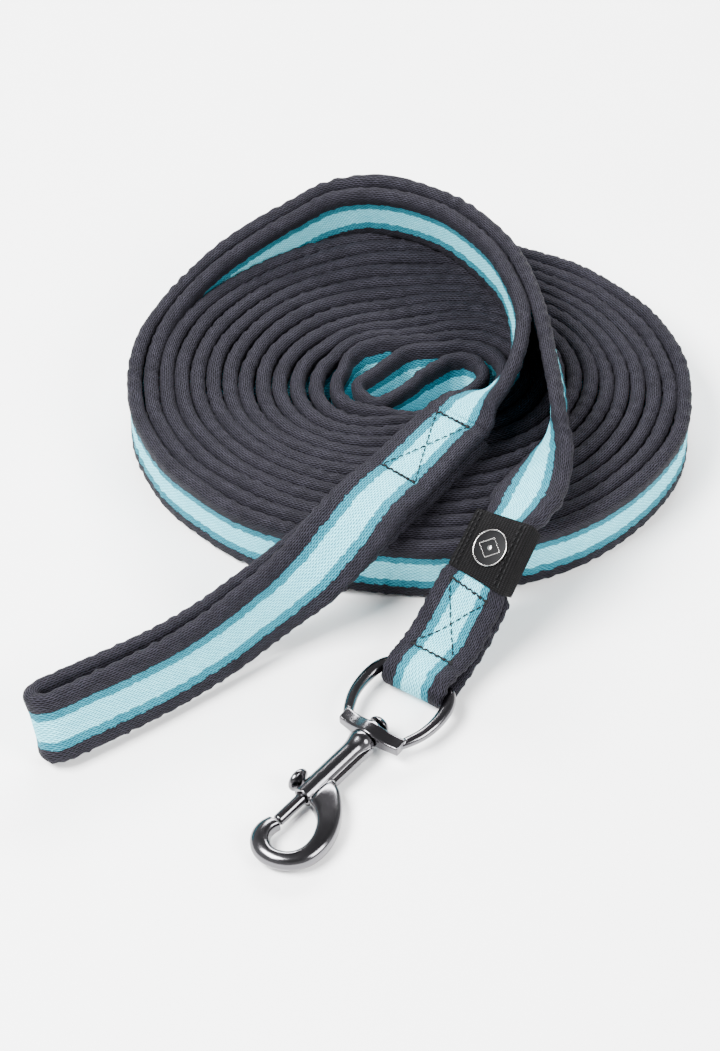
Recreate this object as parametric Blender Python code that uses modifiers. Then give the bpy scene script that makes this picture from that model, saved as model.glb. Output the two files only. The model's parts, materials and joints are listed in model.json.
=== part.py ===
"""Training leash: a padded webbing line wound flat, a sewn hand loop and a swivel bolt snap.

The line is folded in half and wound on edge into a flat oval coil. Both ends leave the coil at
its left side, climb over the back and cross to the front: one ends in the hand loop, the other
in the bolt snap. World units are metres, +Z is up and the coil lies on the floor, z = 0.
Routes and drawings below are in millimetres and are scaled as they are built.
"""
import math

import bmesh
import bpy
from mathutils import Matrix, Vector

MM = 0.001
GAP = 0.3                        # clearance kept between touching meshes

# Webbing
WEB_WIDTH = 25.0
WEB_THICKNESS = 5.2              # padded, as it lies in the line
END_THICKNESS = 4.0              # pressed flat where it is sewn round the snap's bar
END_WIDTH = 22.6                 # drawn in by the bar

# Coil
COIL_CENTRE = (10.5, 53.1)       # where the coil's first fold lies on the floor
PITCH = 5.96                     # from one layer of webbing to the next
FOLD_HALF_LENGTH = 17.0          # half of the straight run in the middle of the coil
OUTER_LAYER = 13                 # layers run 0 to 13 on the left side
EXIT_ANGLE = 190.0               # where the two ends leave the coil, degrees
COIL_OFFSET = (3.06, 3.0)        # the winding's own centre from COIL_CENTRE
OVALNESS = 0.85                  # 0 keeps the winding's straight runs, 1 makes it an ellipse

# Snap
EYE_ANGLE = 36.0                 # headings on the floor, clockwise from -Y towards -X
HOOK_ANGLE = 41.0
WIRE_RADIUS = 1.8
BAR_BORE = 2.5                   # radius of the fold round the bar
BAR_CENTRE = (4.0, -119.0, 7.0)
EYE_LENGTH = 26.4                # bar to cross-bar
AXIS_DROP = 2.4                  # degrees that the snap slopes down to the floor
BARREL_RADIUS = 3.6
BOLT_RADIUS = 1.9
BORE_RADIUS = 2.3
BARREL_START, BARREL_END = 3.2, 31.5
BOLT_TIP = 42.6
BOLT_TAIL = 20.5
SPRING_START = 7.4
KNOB_AT = 27.5

# Label
LABEL_WALL = 0.8
EMBLEM_RADIUS = 6.2

# Hand-chosen routes: centre x, y, z, then the direction from the lower or left edge of the
# webbing to its upper or right edge.
SNAP_LEAD = [
    (-93.3, -9.2, 12.8, 0.0, 0.0, 1.0),
    (-94.3, 0.5, 13.2, 0.0, 0.0, 1.0),
    (-93.9, 11.5, 13.8, 0.0, 0.0, 1.0),
    (-91.6, 22.5, 14.4, 0.0, 0.0, 1.0),
    (-87.3, 33.0, 14.9, 0.01, -0.01, 1.0),
    (-81.9, 43.4, 15.7, 0.03, -0.02, 1.0),
    (-74.5, 52.8, 17.9, 0.05, -0.05, 1.0),
    (-65.4, 61.0, 21.8, 0.07, -0.08, 0.99),
    (-55.1, 67.9, 25.3, 0.08, -0.12, 0.99),
    (-43.6, 73.5, 29.3, 0.07, -0.16, 0.98),
    (-31.9, 78.3, 33.3, 0.05, -0.20, 0.98),
    (-18.6, 78.1, 38.2, 0.02, -0.23, 0.97),
    (-6.0, 75.9, 40.2, -0.02, -0.22, 0.97),
    (8.0, 70.6, 39.6, -0.08, -0.19, 0.98),
    (21.4, 61.8, 38.9, -0.12, -0.13, 0.98),
    (34.6, 45.0, 38.6, -0.16, -0.08, 0.98),
    (42.0, 28.4, 38.4, -0.19, -0.04, 0.98),
    (47.0, 6.0, 38.2, -0.20, 0.0, 0.98),
    (49.5, -16.6, 38.2, -0.22, 0.0, 0.975),
    (49.3, -34.0, 38.6, -0.05, -0.1, 0.99),
    (45.9, -46.8, 36.4, 0.38, -0.55, 0.72),
    (41.4, -60.8, 36.3, 0.62, -0.64, 0.42),
    (36.6, -73.4, 37.7, 0.74, -0.61, 0.28),
    (31.9, -80.1, 36.0, 0.76, -0.60, 0.26),
]
SNAP_END = [
    (33.6, -76.9, 37.6, 0.76, -0.60, 0.24),
    (30.6, -82.0, 34.9, 0.76, -0.60, 0.23),
    (27.2, -87.5, 30.9, 0.77, -0.59, 0.22),
    (22.9, -93.8, 25.2, 0.80, -0.56, 0.18),
    (18.6, -98.5, 18.0, 0.82, -0.56, 0.10),
    (13.0, -105.6, 10.6, 0.82, -0.57, 0.0),
    (7.8, -113.0, 7.3, 0.82, -0.57, 0.0),
    (4.0, -119.0, 7.0, 0.82, -0.57, 0.0),
]
HAND_LEAD = [
    (-87.4, -8.3, 12.8, 0.0, 0.0, 1.0),
    (-88.5, 0.5, 12.9, 0.0, 0.0, 1.0),
    (-88.1, 10.9, 13.5, 0.0, 0.0, 1.0),
    (-85.9, 21.1, 14.7, 0.0, 0.0, 1.0),
    (-82.0, 31.0, 16.0, 0.01, -0.01, 1.0),
    (-76.8, 40.6, 17.2, 0.03, -0.02, 1.0),
    (-70.1, 49.5, 19.0, 0.05, -0.05, 1.0),
    (-61.6, 57.1, 21.6, 0.07, -0.08, 0.99),
    (-51.9, 63.5, 25.0, 0.08, -0.12, 0.99),
    (-41.3, 68.6, 29.0, 0.07, -0.16, 0.98),
    (-29.8, 72.5, 33.4, 0.05, -0.20, 0.98),
    (-18.0, 72.0, 37.8, 0.02, -0.24, 0.97),
    (-6.0, 70.2, 38.6, -0.02, -0.22, 0.97),
    (6.0, 65.6, 38.5, -0.07, -0.19, 0.98),
    (16.8, 57.9, 38.4, -0.10, -0.14, 0.98),
    (28.6, 43.0, 38.3, -0.10, -0.08, 0.99),
    (35.1, 29.0, 38.3, -0.12, -0.04, 0.99),
    (38.4, 10.0, 38.1, 0.05, 0.0, 1.0),
    (36.8, -5.0, 38.1, 0.15, 0.0, 0.99),
    (33.0, -14.6, 37.8, 0.30, -0.15, 0.94),
    (28.4, -20.0, 36.9, 0.52, -0.36, 0.78),
    (21.2, -25.3, 35.7, 0.74, -0.56, 0.38),
    (17.2, -30.3, 34.6, 0.79, -0.60, 0.10),
]
HAND_LOOP = [                    # middle of the double layer, out to the loop's end
    (16.8, -31.0, 31.4, 0.80, -0.60, 0.06),
    (12.1, -37.0, 31.4, 0.80, -0.60, 0.06),
    (5.0, -46.6, 31.4, 0.79, -0.61, 0.02),
    (-2.0, -56.0, 31.4, 0.78, -0.62, -0.02),
    (-12.0, -69.6, 32.8, 0.74, -0.66, -0.10),
    (-21.4, -81.6, 31.4, 0.62, -0.62, -0.46),
    (-31.1, -89.6, 26.4, 0.52, -0.40, -0.75),
    (-40.9, -95.2, 21.4, 0.47, -0.18, -0.86),
    (-50.2, -101.2, 17.8, 0.41, -0.16, -0.90),
    (-60.6, -109.2, 15.2, 0.36, -0.16, -0.92),
    (-73.8, -118.6, 13.6, 0.31, -0.16, -0.93),
    (-86.4, -127.0, 13.4, 0.30, -0.18, -0.93),
    (-98.4, -134.4, 13.4, 0.30, -0.20, -0.93),
    (-109.2, -141.0, 13.4, 0.30, -0.20, -0.93),
]
ROUTE_STEP = 7.0                 # spacing of the cross-sections along a route
LOOP_OPENING = 9.4               # distance between the hand loop's layers at its end

# Box stitching, as distances along the double layers' routes
HAND_BOX = (2.2, 33.6)
SNAP_BOX = (27.2, 54.0)
LABEL_STATIONS = (1, 6)           # of the sewn end's route
SEWN_FROM = 2                     # the station where the two sewn layers start, in the label
LABEL_PRESS = 1.2                 # what the label takes off each layer's thickness
LABEL_DRAW = 4.4                  # and off the webbing's width
PRESS_START, PRESS_LENGTH = 35.5, 3.5   # distances from the bar over which it sets in

COLOURS = {                      # base colour, metallic, roughness
    "webbing": ((0.062, 0.058, 0.075), 0.0, 0.85),
    "thread": ((0.012, 0.012, 0.014), 0.0, 0.6),
    "label": ((0.015, 0.015, 0.018), 0.0, 0.8),
    "emblem_black": ((0.008, 0.008, 0.010), 0.2, 0.35),
    "emblem_metal": ((0.46, 0.44, 0.43), 1.0, 0.25),
    "gunmetal": ((0.20, 0.20, 0.22), 1.0, 0.16),
    "spring_steel": ((0.55, 0.55, 0.56), 1.0, 0.3),
}


def clear_scene():
    for item in list(bpy.data.objects):
        bpy.data.objects.remove(item, do_unlink=True)


def new_collection(name):
    collection = bpy.data.collections.new(name)
    bpy.context.scene.collection.children.link(collection)
    return collection


def make_material(name):
    colour, metallic, roughness = COLOURS[name]
    material = bpy.data.materials.new(name)
    material.use_nodes = True
    shader = material.node_tree.nodes["Principled BSDF"]
    shader.inputs["Base Color"].default_value = (*colour, 1.0)
    shader.inputs["Metallic"].default_value = metallic
    shader.inputs["Roughness"].default_value = roughness
    return material


clear_scene()
PARTS = new_collection("training_leash")
CUTTERS = new_collection("cutters")
MATERIALS = {key: make_material(key) for key in COLOURS}


# ---------------------------------------------------------------- building blocks

def place(item, material, parent=None):
    """Put a finished object in the parts collection with its material."""
    for collection in list(item.users_collection):
        collection.objects.unlink(item)
    PARTS.objects.link(item)
    item.data.materials.clear()
    item.data.materials.append(MATERIALS[material])
    item.parent = parent
    return item


def set_aside(item, parent=None):
    """Keep a cutter or a guide out of the model."""
    for collection in list(item.users_collection):
        collection.objects.unlink(item)
    CUTTERS.objects.link(item)
    item.hide_render = True
    item.display_type = 'WIRE'
    item.parent = parent
    return item


def empty_at(name, matrix, parent=None):
    frame = bpy.data.objects.new(name, None)
    CUTTERS.objects.link(frame)
    frame.parent = parent
    frame.matrix_local = matrix
    return frame


def boolean(item, cutter, operation):
    modifier = item.modifiers.new(operation.lower(), 'BOOLEAN')
    modifier.operation = operation
    modifier.object = cutter
    return item


def cylinder(name, radius, start, end, segments=24):
    """A cylinder along local +X."""
    turn = Matrix.Rotation(math.radians(90), 4, 'Y')
    middle = Matrix.Translation(Vector(((start + end) / 2 * MM, 0, 0)))
    mesh = bpy.data.meshes.new(name)
    shape = bmesh.new()
    bmesh.ops.create_cone(shape, cap_ends=True, segments=segments, radius1=radius * MM,
                          radius2=radius * MM, depth=(end - start) * MM, matrix=middle @ turn)
    shape.to_mesh(mesh)
    shape.free()
    item = bpy.data.objects.new(name, mesh)
    bpy.context.scene.collection.objects.link(item)
    return item


def box(name, low, high):
    """A box between two corners given in millimetres."""
    size = [(b - a) * MM for a, b in zip(low, high)]
    centre = Vector([(a + b) / 2 * MM for a, b in zip(low, high)])
    mesh = bpy.data.meshes.new(name)
    shape = bmesh.new()
    bmesh.ops.create_cube(shape, size=1.0,
                          matrix=Matrix.Translation(centre) @ Matrix.Diagonal((*size, 1.0)))
    shape.to_mesh(mesh)
    shape.free()
    item = bpy.data.objects.new(name, mesh)
    bpy.context.scene.collection.objects.link(item)
    return item


def turned(name, profile, segments=24, flip=False):
    """A profile of (x, radius) points turned about local X, given from its far end back."""
    mesh = bpy.data.meshes.new(name)
    shape = bmesh.new()
    points = [shape.verts.new((x * MM, radius * MM, 0)) for x, radius in profile]
    for first, second in zip(points, points[1:]):
        shape.edges.new((first, second))
    shape.to_mesh(mesh)
    shape.free()
    item = bpy.data.objects.new(name, mesh)
    bpy.context.scene.collection.objects.link(item)
    screw = item.modifiers.new("turn", 'SCREW')
    screw.axis = 'X'
    screw.steps = segments
    screw.render_steps = segments
    screw.use_merge_vertices = True
    screw.merge_threshold = 0.00001
    screw.use_normal_calculate = True
    screw.use_normal_flip = flip
    return item


def curve_mesh(name, points, radius, cyclic=False, resolution=3):
    """A round wire through points in millimetres, as a welded mesh object."""
    curve = bpy.data.curves.new(name, 'CURVE')
    curve.dimensions = '3D'
    curve.bevel_depth = radius * MM
    curve.bevel_resolution = resolution
    curve.use_fill_caps = True
    line = curve.splines.new('POLY')
    line.points.add(len(points) - 1)
    for knot, point in zip(line.points, points):
        knot.co = (*(Vector(point) * MM), 1.0)
    line.use_cyclic_u = cyclic
    return welded(name, curve)


def flat_outline(name, outline, thickness, z=0.0):
    """A flat outline in local XY, extruded both ways from z."""
    curve = bpy.data.curves.new(name, 'CURVE')
    curve.dimensions = '2D'
    curve.fill_mode = 'BOTH'
    curve.extrude = thickness / 2 * MM
    line = curve.splines.new('POLY')
    line.points.add(len(outline) - 1)
    for knot, (x, y) in zip(line.points, outline):
        knot.co = (x * MM, y * MM, 0.0, 1.0)
    line.use_cyclic_u = True
    item = welded(name, curve)
    item.data.transform(Matrix.Translation((0, 0, z * MM)))
    return item


def welded(name, curve):
    """The evaluated mesh of a curve, with its caps joined on."""
    source = bpy.data.objects.new(name + "_curve", curve)
    bpy.context.scene.collection.objects.link(source)
    bpy.context.view_layer.update()
    evaluated = source.evaluated_get(bpy.context.evaluated_depsgraph_get())
    mesh = bpy.data.meshes.new_from_object(evaluated)
    bpy.data.objects.remove(source, do_unlink=True)
    shape = bmesh.new()
    shape.from_mesh(mesh)
    bmesh.ops.remove_doubles(shape, verts=shape.verts, dist=0.000005)
    bmesh.ops.recalc_face_normals(shape, faces=shape.faces)
    shape.to_mesh(mesh)
    shape.free()
    mesh.name = name
    item = bpy.data.objects.new(name, mesh)
    bpy.context.scene.collection.objects.link(item)
    return item


# ---------------------------------------------------------------- the winding

def smoothstep(value):
    value = min(1.0, max(0.0, value))
    return value * value * (3 - 2 * value)


def winding_point(side, radius, angle, run=None):
    """A point of the winding, in millimetres from the coil's centre.

    side is -1 for the left turns and 1 for the right turns, whose centre lies one pitch nearer
    the front. run goes from -1 to 1 along the straight stretch between two turns.
    """
    turn = math.radians(angle)
    centre_y = 0.0 if side < 0 else -PITCH
    roundness = OVALNESS * smoothstep(radius / 80.0)
    if run is None:
        cosine = abs(math.cos(turn))
        x = side * (FOLD_HALF_LENGTH * (1 - roundness + roundness * cosine) + radius * cosine)
    else:
        x = run * FOLD_HALF_LENGTH * (1 - roundness)
    y = centre_y + radius * math.sin(turn)
    tilt = math.radians(22) * (1 - smoothstep((radius - 8) / 62))
    return Vector((x * math.cos(tilt) - y * math.sin(tilt) + COIL_OFFSET[0],
                   x * math.sin(tilt) + y * math.cos(tilt) + COIL_OFFSET[1], 0))


def coil_outline():
    """The outer turn of the winding, from the exit once round to the exit again."""
    half = WEB_THICKNESS / 2
    layer = OUTER_LAYER + 0.5
    points = []
    for degrees in range(int(EXIT_ANGLE), 271, 8):
        points.append(winding_point(-1, layer * PITCH + half, degrees))
    for degrees in range(-90, 91, 9):
        points.append(winding_point(1, (layer - 1) * PITCH + half, degrees))
    for degrees in range(94, int(EXIT_ANGLE) + 1, 8):
        points.append(winding_point(-1, (layer - 2) * PITCH + half, degrees))
    return [(point.x, point.y) for point in points]


# ---------------------------------------------------------------- webbing along a route

def smooth_route(rows, step=ROUTE_STEP):
    """Stations (centre, across) every step along a smooth curve through the route's rows."""
    points = [Vector(row[:3]) for row in rows]
    across = [Vector(row[3:]).normalized() for row in rows]
    points = [points[0] * 2 - points[1]] + points + [points[-1] * 2 - points[-2]]
    across = [across[0]] + across + [across[-1]]
    stations = []
    for i in range(1, len(points) - 2):
        length = (points[i + 1] - points[i]).length
        count = max(2, round(length / step))
        for j in range(count):
            stations.append((spline(points, i, j / count), spline(across, i, j / count)))
    stations.append((points[-2], across[-2]))
    return stations


def spline(values, i, t):
    """Catmull-Rom interpolation between values[i] and values[i + 1]."""
    a, b, c, d = values[i - 1:i + 3]
    return 0.5 * (2 * b + (c - a) * t + (2 * a - 5 * b + 4 * c - d) * t * t
                  + (3 * b - a - 3 * c + d) * t * t * t)


def frames_of(stations):
    """Stations as (centre, across, normal) with across square to the route."""
    frames = []
    last = len(stations) - 1
    for i, (centre, across) in enumerate(stations):
        ahead = (stations[min(i + 1, last)][0] - stations[max(i - 1, 0)][0]).normalized()
        across = (across - ahead * across.dot(ahead)).normalized()
        frames.append((centre, across, ahead.cross(across)))
    return frames


def web_section(width, thickness):
    """The padded webbing's cross-section: flat faces and full, round edges."""
    edge = thickness / 2
    flat = width / 2 - edge
    points = []
    for side in (1, -1):
        for degrees in (-75, -40, 0, 40, 75):
            turn = math.radians(degrees)
            points.append((side * (flat + edge * math.cos(turn)), side * edge * math.sin(turn)))
        for share in (0.6, 0.2, -0.2, -0.6):
            points.append((side * flat * share, side * edge))
    return points


def sleeve_section(width, thickness, corner):
    """A rectangle with rounded corners."""
    points = []
    for x_side, y_side, start in ((1, 1, 0), (-1, 1, 90), (-1, -1, 180), (1, -1, 270)):
        for degrees in (start, start + 45, start + 90):
            turn = math.radians(degrees)
            points.append((x_side * (width / 2 - corner) + corner * math.cos(turn),
                           y_side * (thickness / 2 - corner) + corner * math.sin(turn)))
    return points


def web_solid(name, frames, section_at, inner_at=None):
    """A solid lofted through frames; section_at(i) gives its cross-section there.

    inner_at gives the section of a passage right through, which makes a sleeve.
    """
    shape = bmesh.new()

    def rings_for(sections):
        rings = []
        for i, (centre, across, normal) in enumerate(frames):
            rings.append([shape.verts.new((centre + across * u + normal * v) * MM)
                          for u, v in sections(i)])
        return rings

    def skin(rings):
        for low, high in zip(rings, rings[1:]):
            for j in range(len(low)):
                k = (j + 1) % len(low)
                shape.faces.new((low[j], low[k], high[k], high[j]))

    outer = rings_for(section_at)
    skin(outer)
    if inner_at:
        inner = rings_for(inner_at)
        skin(inner)
        for a, b in ((outer[0], inner[0]), (outer[-1], inner[-1])):
            for j in range(len(a)):
                k = (j + 1) % len(a)
                shape.faces.new((a[j], a[k], b[k], b[j]))
    else:
        shape.faces.new(outer[0])
        shape.faces.new(outer[-1])
    bmesh.ops.recalc_face_normals(shape, faces=shape.faces)
    mesh = bpy.data.meshes.new(name)
    shape.to_mesh(mesh)
    shape.free()
    item = bpy.data.objects.new(name, mesh)
    bpy.context.scene.collection.objects.link(item)
    return item


def left_along(frames):
    """The distance from each frame of a route to its last one."""
    left = [0.0]
    for one, two in zip(frames[::-1], frames[-2::-1]):
        left.append(left[-1] + (one[0] - two[0]).length)
    return left[::-1]


def doubled(frames, apart, bend_steps=6):
    """Frames out along one side of a route and back along the other, round its end.

    apart(distance left) is the distance between the two layers.
    """
    back, front = [], []
    for (centre, across, normal), distance in zip(frames, left_along(frames)):
        offset = normal * (apart(distance) / 2)
        back.append((centre - offset, across, normal))
        front.append((centre + offset, across, -normal))
    centre, across, normal = frames[-1]
    ahead = across.cross(normal)
    radius = apart(0) / 2
    bend = []
    for i in range(1, bend_steps):
        turn = math.pi * i / bend_steps
        outward = ahead * math.sin(turn) - normal * math.cos(turn)
        bend.append((centre + outward * radius, across, -outward))
    return back + bend + list(reversed(front))


def frame_at(frames, distance):
    """The frame at a distance along a route, interpolated."""
    for one, two in zip(frames, frames[1:]):
        length = (two[0] - one[0]).length
        if distance <= length:
            t = distance / length
            return tuple(a.lerp(b, t) for a, b in zip(one, two))
        distance -= length
    return frames[-1]


def spread(near, far, reach):
    """A distance between layers that grows from near to far over the last stretch."""
    return lambda left: near + (far - near) * smoothstep(1 - left / reach)


LOOP_SPREAD = spread(WEB_THICKNESS + 2 * GAP, LOOP_OPENING, 95.0)
END_SPREAD = spread(END_THICKNESS + GAP, 2 * BAR_BORE + END_THICKNESS, 17.0)


def pressed(left):
    """How far the label has set in at a distance from the bar, from 0 to 1."""
    return smoothstep((left - PRESS_START) / PRESS_LENGTH)


def end_spread(left):
    """The distance between the two sewn layers, at a distance from the bar."""
    return END_SPREAD(left) - LABEL_PRESS * pressed(left)


# ---------------------------------------------------------------- the webbing

def make_coil(base):
    coil = flat_outline("webbing_coil", coil_outline(), WEB_WIDTH, WEB_WIDTH / 2)
    return place(coil, "webbing", base)


def make_lead(name, rows, base, drawn=0.0):
    """One lead; drawn is how much narrower its last end is."""
    frames = frames_of(smooth_route(rows))
    last = len(frames) - 1

    def section(i):
        return web_section(WEB_WIDTH - drawn * max(0.0, 1 - (last - i) / 2), WEB_THICKNESS)

    return place(web_solid(name, frames, section), "webbing", base)


def make_hand_loop(base):
    route = frames_of(smooth_route(HAND_LOOP, 4.0))
    frames = doubled(route, LOOP_SPREAD)
    section = web_section(WEB_WIDTH, WEB_THICKNESS)
    loop = web_solid("hand_loop_webbing", frames, lambda i: section)
    place(loop, "webbing", base)
    return route


def make_snap_end(base):
    route = frames_of(smooth_route(SNAP_END, 4.0))
    sewn = route[SEWN_FROM:]
    frames = doubled(sewn, end_spread, 8)
    count = len(frames)
    left = left_along(sewn)

    def section(i):
        to_bar = smoothstep(1 - abs(i - count / 2) / (count / 4))
        station = min(i, count - 1 - i, len(sewn) - 1)
        share = pressed(left[station])
        width = WEB_WIDTH + (END_WIDTH - WEB_WIDTH) * to_bar - LABEL_DRAW * share
        return web_section(width, END_THICKNESS - LABEL_PRESS * share)

    place(web_solid("snap_end_webbing", frames, section), "webbing", base)
    return route


def make_box_stitch(name, route, span, apart, thickness, width, base):
    """A sewn box with its cross, one connected run of thread on the upper layer."""
    half = width / 2
    near, far = span
    runs = [((near, -half), (near, half)), ((far, -half), (far, half)),
            ((near, -half), (far, half)), ((near, half), (far, -half))]
    length = sum((two[0] - one[0]).length for one, two in zip(route, route[1:]))
    threads = []
    for i, (start, end) in enumerate(runs):
        points = []
        for step in range(9):
            t = step / 8
            distance = start[0] + (end[0] - start[0]) * t
            centre, across, normal = frame_at(route, distance)
            offset = start[1] + (end[1] - start[1]) * t
            height = apart(length - distance) / 2 + thickness / 2 + 0.8
            points.append(centre + across * offset + normal * height)
        threads.append(curve_mesh(f"{name}_{i}", points, 0.5 if i < 2 else 0.35, resolution=1))
    thread = threads[0]
    thread.name = name
    for other in threads[1:]:
        set_aside(other, base)
        boolean(thread, other, 'UNION')
    return place(thread, "thread", base)


def make_label(route, base):
    """The woven sleeve round both layers, its four seams and the round emblem."""
    frames = route[LABEL_STATIONS[0]:LABEL_STATIONS[1] + 1]
    inner = 2 * (END_THICKNESS - LABEL_PRESS) + GAP + 3 * GAP
    outer = inner + 2 * LABEL_WALL
    room = WEB_WIDTH - LABEL_DRAW + 3 * GAP
    outside = sleeve_section(room + 2 * LABEL_WALL, outer, 2.2)
    inside = sleeve_section(room, inner, 1.4)
    sleeve = web_solid("label_sleeve", frames, lambda i: outside, lambda i: inside)
    place(sleeve, "label", base)
    middle = frame_at(frames, (frames[-1][0] - frames[0][0]).length / 2)
    x_axis = (frames[-1][0] - frames[0][0]).normalized()
    z_axis = x_axis.cross(middle[1]).normalized()
    y_axis = z_axis.cross(x_axis)
    matrix = Matrix((x_axis, y_axis, z_axis)).transposed().to_4x4()
    matrix.translation = (middle[0] + z_axis * (outer / 2 + 3 * GAP)) * MM
    frame = empty_at("label_top", matrix, base)
    half = (frames[-1][0] - frames[0][0]).length / 2 - 1.0
    for side, sign in (("left", -1), ("right", 1)):
        for row, offset in (("outer", 9.4), ("inner", 7.9)):
            name = f"label_seam_{side}_{row}"
            y = sign * offset
            seam = box(name, (-half, y - 0.3, 0.0), (half, y + 0.3, 0.5))
            place(seam, "thread", frame)
    make_emblem(frame)


def make_emblem(frame):
    plate = cylinder("emblem_plate", EMBLEM_RADIUS - 0.7, 0.0, 0.5, 36)
    turn = Matrix.Rotation(math.radians(-90), 4, 'Y')
    plate.data.transform(turn)
    place(plate, "emblem_black", frame)
    rim = [(0.8, EMBLEM_RADIUS), (0.0, EMBLEM_RADIUS), (0.0, EMBLEM_RADIUS - 0.5),
           (0.8, EMBLEM_RADIUS - 0.5), (0.8, EMBLEM_RADIUS)]
    ring = turned("emblem_rim", rim, 36)
    ring.rotation_euler = (0, math.radians(-90), 0)
    place(ring, "emblem_metal", frame)
    size = 2.6
    motif = flat_outline("emblem_motif", [(size, 0), (0, size), (-size, 0), (0, -size)], 0.4,
                         0.5 + GAP + 0.2)
    place(motif, "emblem_metal", frame)


# ---------------------------------------------------------------- the snap

def heading(degrees, drop=0.0):
    """Rotation whose local +X points along a floor heading, sloping down by drop."""
    down = Matrix.Rotation(math.radians(drop), 4, 'Y')
    return Matrix.Rotation(math.radians(270 - degrees), 4, 'Z') @ down


def mirrored(points):
    """A half outline followed by its mirror image in local Y, end to end."""
    return points + [(x, -y, z) for x, y, z in reversed(points)]


def make_eye(frame):
    """Strap bar, bowed arms, flat cross-bar and its boss, cast in one."""
    arm = [(0.0, 3.0, 0.0), (0.0, 11.3, 0.0), (0.7, 12.7, 0.0), (2.6, 13.7, 0.0),
           (6.0, 14.3, 0.0), (10.0, 14.5, 0.0), (14.0, 14.3, 0.0), (18.0, 13.4, 0.0),
           (21.6, 12.0, 0.0), (24.6, 10.4, 0.0)]
    wire = curve_mesh("swivel_eye", mirrored(arm[::-1]), WIRE_RADIUS, resolution=2)
    middle = EYE_LENGTH
    bar = box("eye_cross_bar", (middle - 2.8, -11.2, -1.5), (middle + 2.8, 11.2, 1.5))
    boss = cylinder("eye_boss", 4.9, middle - 2.75, middle + 2.75, 28)
    hole = cylinder("eye_boss_hole", 2.0, middle - 6.0, middle + 6.0, 20)
    for tool, operation in ((bar, 'UNION'), (boss, 'UNION'), (hole, 'DIFFERENCE')):
        set_aside(tool, frame)
        boolean(wire, tool, operation)
    return place(wire, "gunmetal", frame)


def make_pin(frame):
    """The swivel pin: a domed head inside the eye and a shank pressed in the hook's collar."""
    head = 3.5
    face = -3.6
    dome = [(face - 2.4 * math.cos(math.radians(a)), head * math.sin(math.radians(a)))
            for a in range(90, -1, -15)]
    profile = [(6.2, 0.0), (6.2, 1.4), (face, 1.4)] + dome
    profile[-1] = (face - 2.4, 0.0)
    return place(turned("swivel_pin", profile, flip=True), "gunmetal", frame)


def hook_outline():
    """The hook's flat outline with its eye opening left as a gap at the bolt."""
    outer = [(17.0, 2.6), (20.0, 4.2), (23.0, 7.6), (26.0, 11.2), (30.0, 15.0), (35.0, 17.6),
             (40.0, 18.7), (45.0, 18.6), (50.0, 16.8), (53.6, 13.6), (55.9, 9.4), (56.4, 5.0),
             (55.4, 1.0), (53.2, -1.8), (50.0, -3.4), (46.6, -3.7), (43.6, -2.8)]
    inner = [(43.6, 2.2), (46.0, 1.4), (48.6, 2.4), (50.4, 4.8), (50.6, 7.8), (49.0, 10.8),
             (46.0, 12.6), (42.2, 12.8), (38.6, 11.8), (35.4, 9.4), (33.4, 6.4), (32.4, 3.2),
             (30.0, 0.0), (17.0, 0.0)]
    return outer + inner


def make_hook_body(frame):
    """Barrel with its bolt bore and knob slot, the web and the hook, cast in one."""
    start, end = BARREL_START, BARREL_END
    collar = 4.6
    profile = [(end, 0.0), (end, BARREL_RADIUS), (start + 5.5, BARREL_RADIUS),
               (start + 2.5, collar), (start, collar), (start, 0.0)]
    body = turned("hook_body", profile)
    hook = flat_outline("hook_blade", hook_outline(), 6.4)
    web = box("hook_web", (start + 0.6, 0.0, -1.3), (24.0, 4.9, 1.3))
    bore = cylinder("bolt_bore", BORE_RADIUS, SPRING_START - 0.3, end + 12.6, 24)
    socket = cylinder("pin_socket", 1.7, start - 3.0, 6.6, 20)
    slot = box("knob_slot", (KNOB_AT - 11.2, -9.0, -1.5), (KNOB_AT + 1.9, 0.0, 1.5))
    for tool, operation in ((hook, 'UNION'), (web, 'UNION'), (bore, 'DIFFERENCE'),
                            (socket, 'DIFFERENCE'), (slot, 'DIFFERENCE')):
        set_aside(tool, frame)
        boolean(body, tool, operation)
    return place(body, "gunmetal", frame)


def make_bolt(frame):
    """The sliding bolt, its thumb knob on a stem through the slot, and its spring."""
    bolt = turned("latch_bolt", [(BOLT_TIP, 0.0), (BOLT_TIP, BOLT_RADIUS),
                                 (BOLT_TAIL, BOLT_RADIUS), (BOLT_TAIL, 0.0)])
    seat = cylinder("knob_seat", 1.2, -4.0, -0.4, 16)
    seat.data.transform(Matrix.Translation((KNOB_AT * MM, 0, 0))
                        @ Matrix.Rotation(math.radians(90), 4, 'Z'))
    set_aside(seat, frame)
    boolean(bolt, seat, 'DIFFERENCE')
    place(bolt, "gunmetal", frame)
    cap = [(7.5, 0.0), (7.2, 2.2), (6.5, 3.6), (5.7, 3.9), (5.0, 3.2), (4.4, 1.6), (3.4, 0.9),
           (0.8, 0.9), (0.8, 0.0)]
    knob = turned("thumb_knob", cap, 20)
    knob.location = (KNOB_AT * MM, 0, 0)
    knob.rotation_euler = (0, 0, math.radians(-90))
    place(knob, "gunmetal", frame)
    turns, per_turn = 7, 10
    start, end = SPRING_START + 0.6, BOLT_TAIL - 0.6
    coil = []
    for i in range(turns * per_turn + 1):
        angle = 2 * math.pi * i / per_turn
        x = start + (end - start) * i / (turns * per_turn)
        coil.append((x, 1.55 * math.cos(angle), 1.55 * math.sin(angle)))
    spring = curve_mesh("bolt_spring", coil, 0.3, resolution=1)
    place(spring, "spring_steel", frame)


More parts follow.
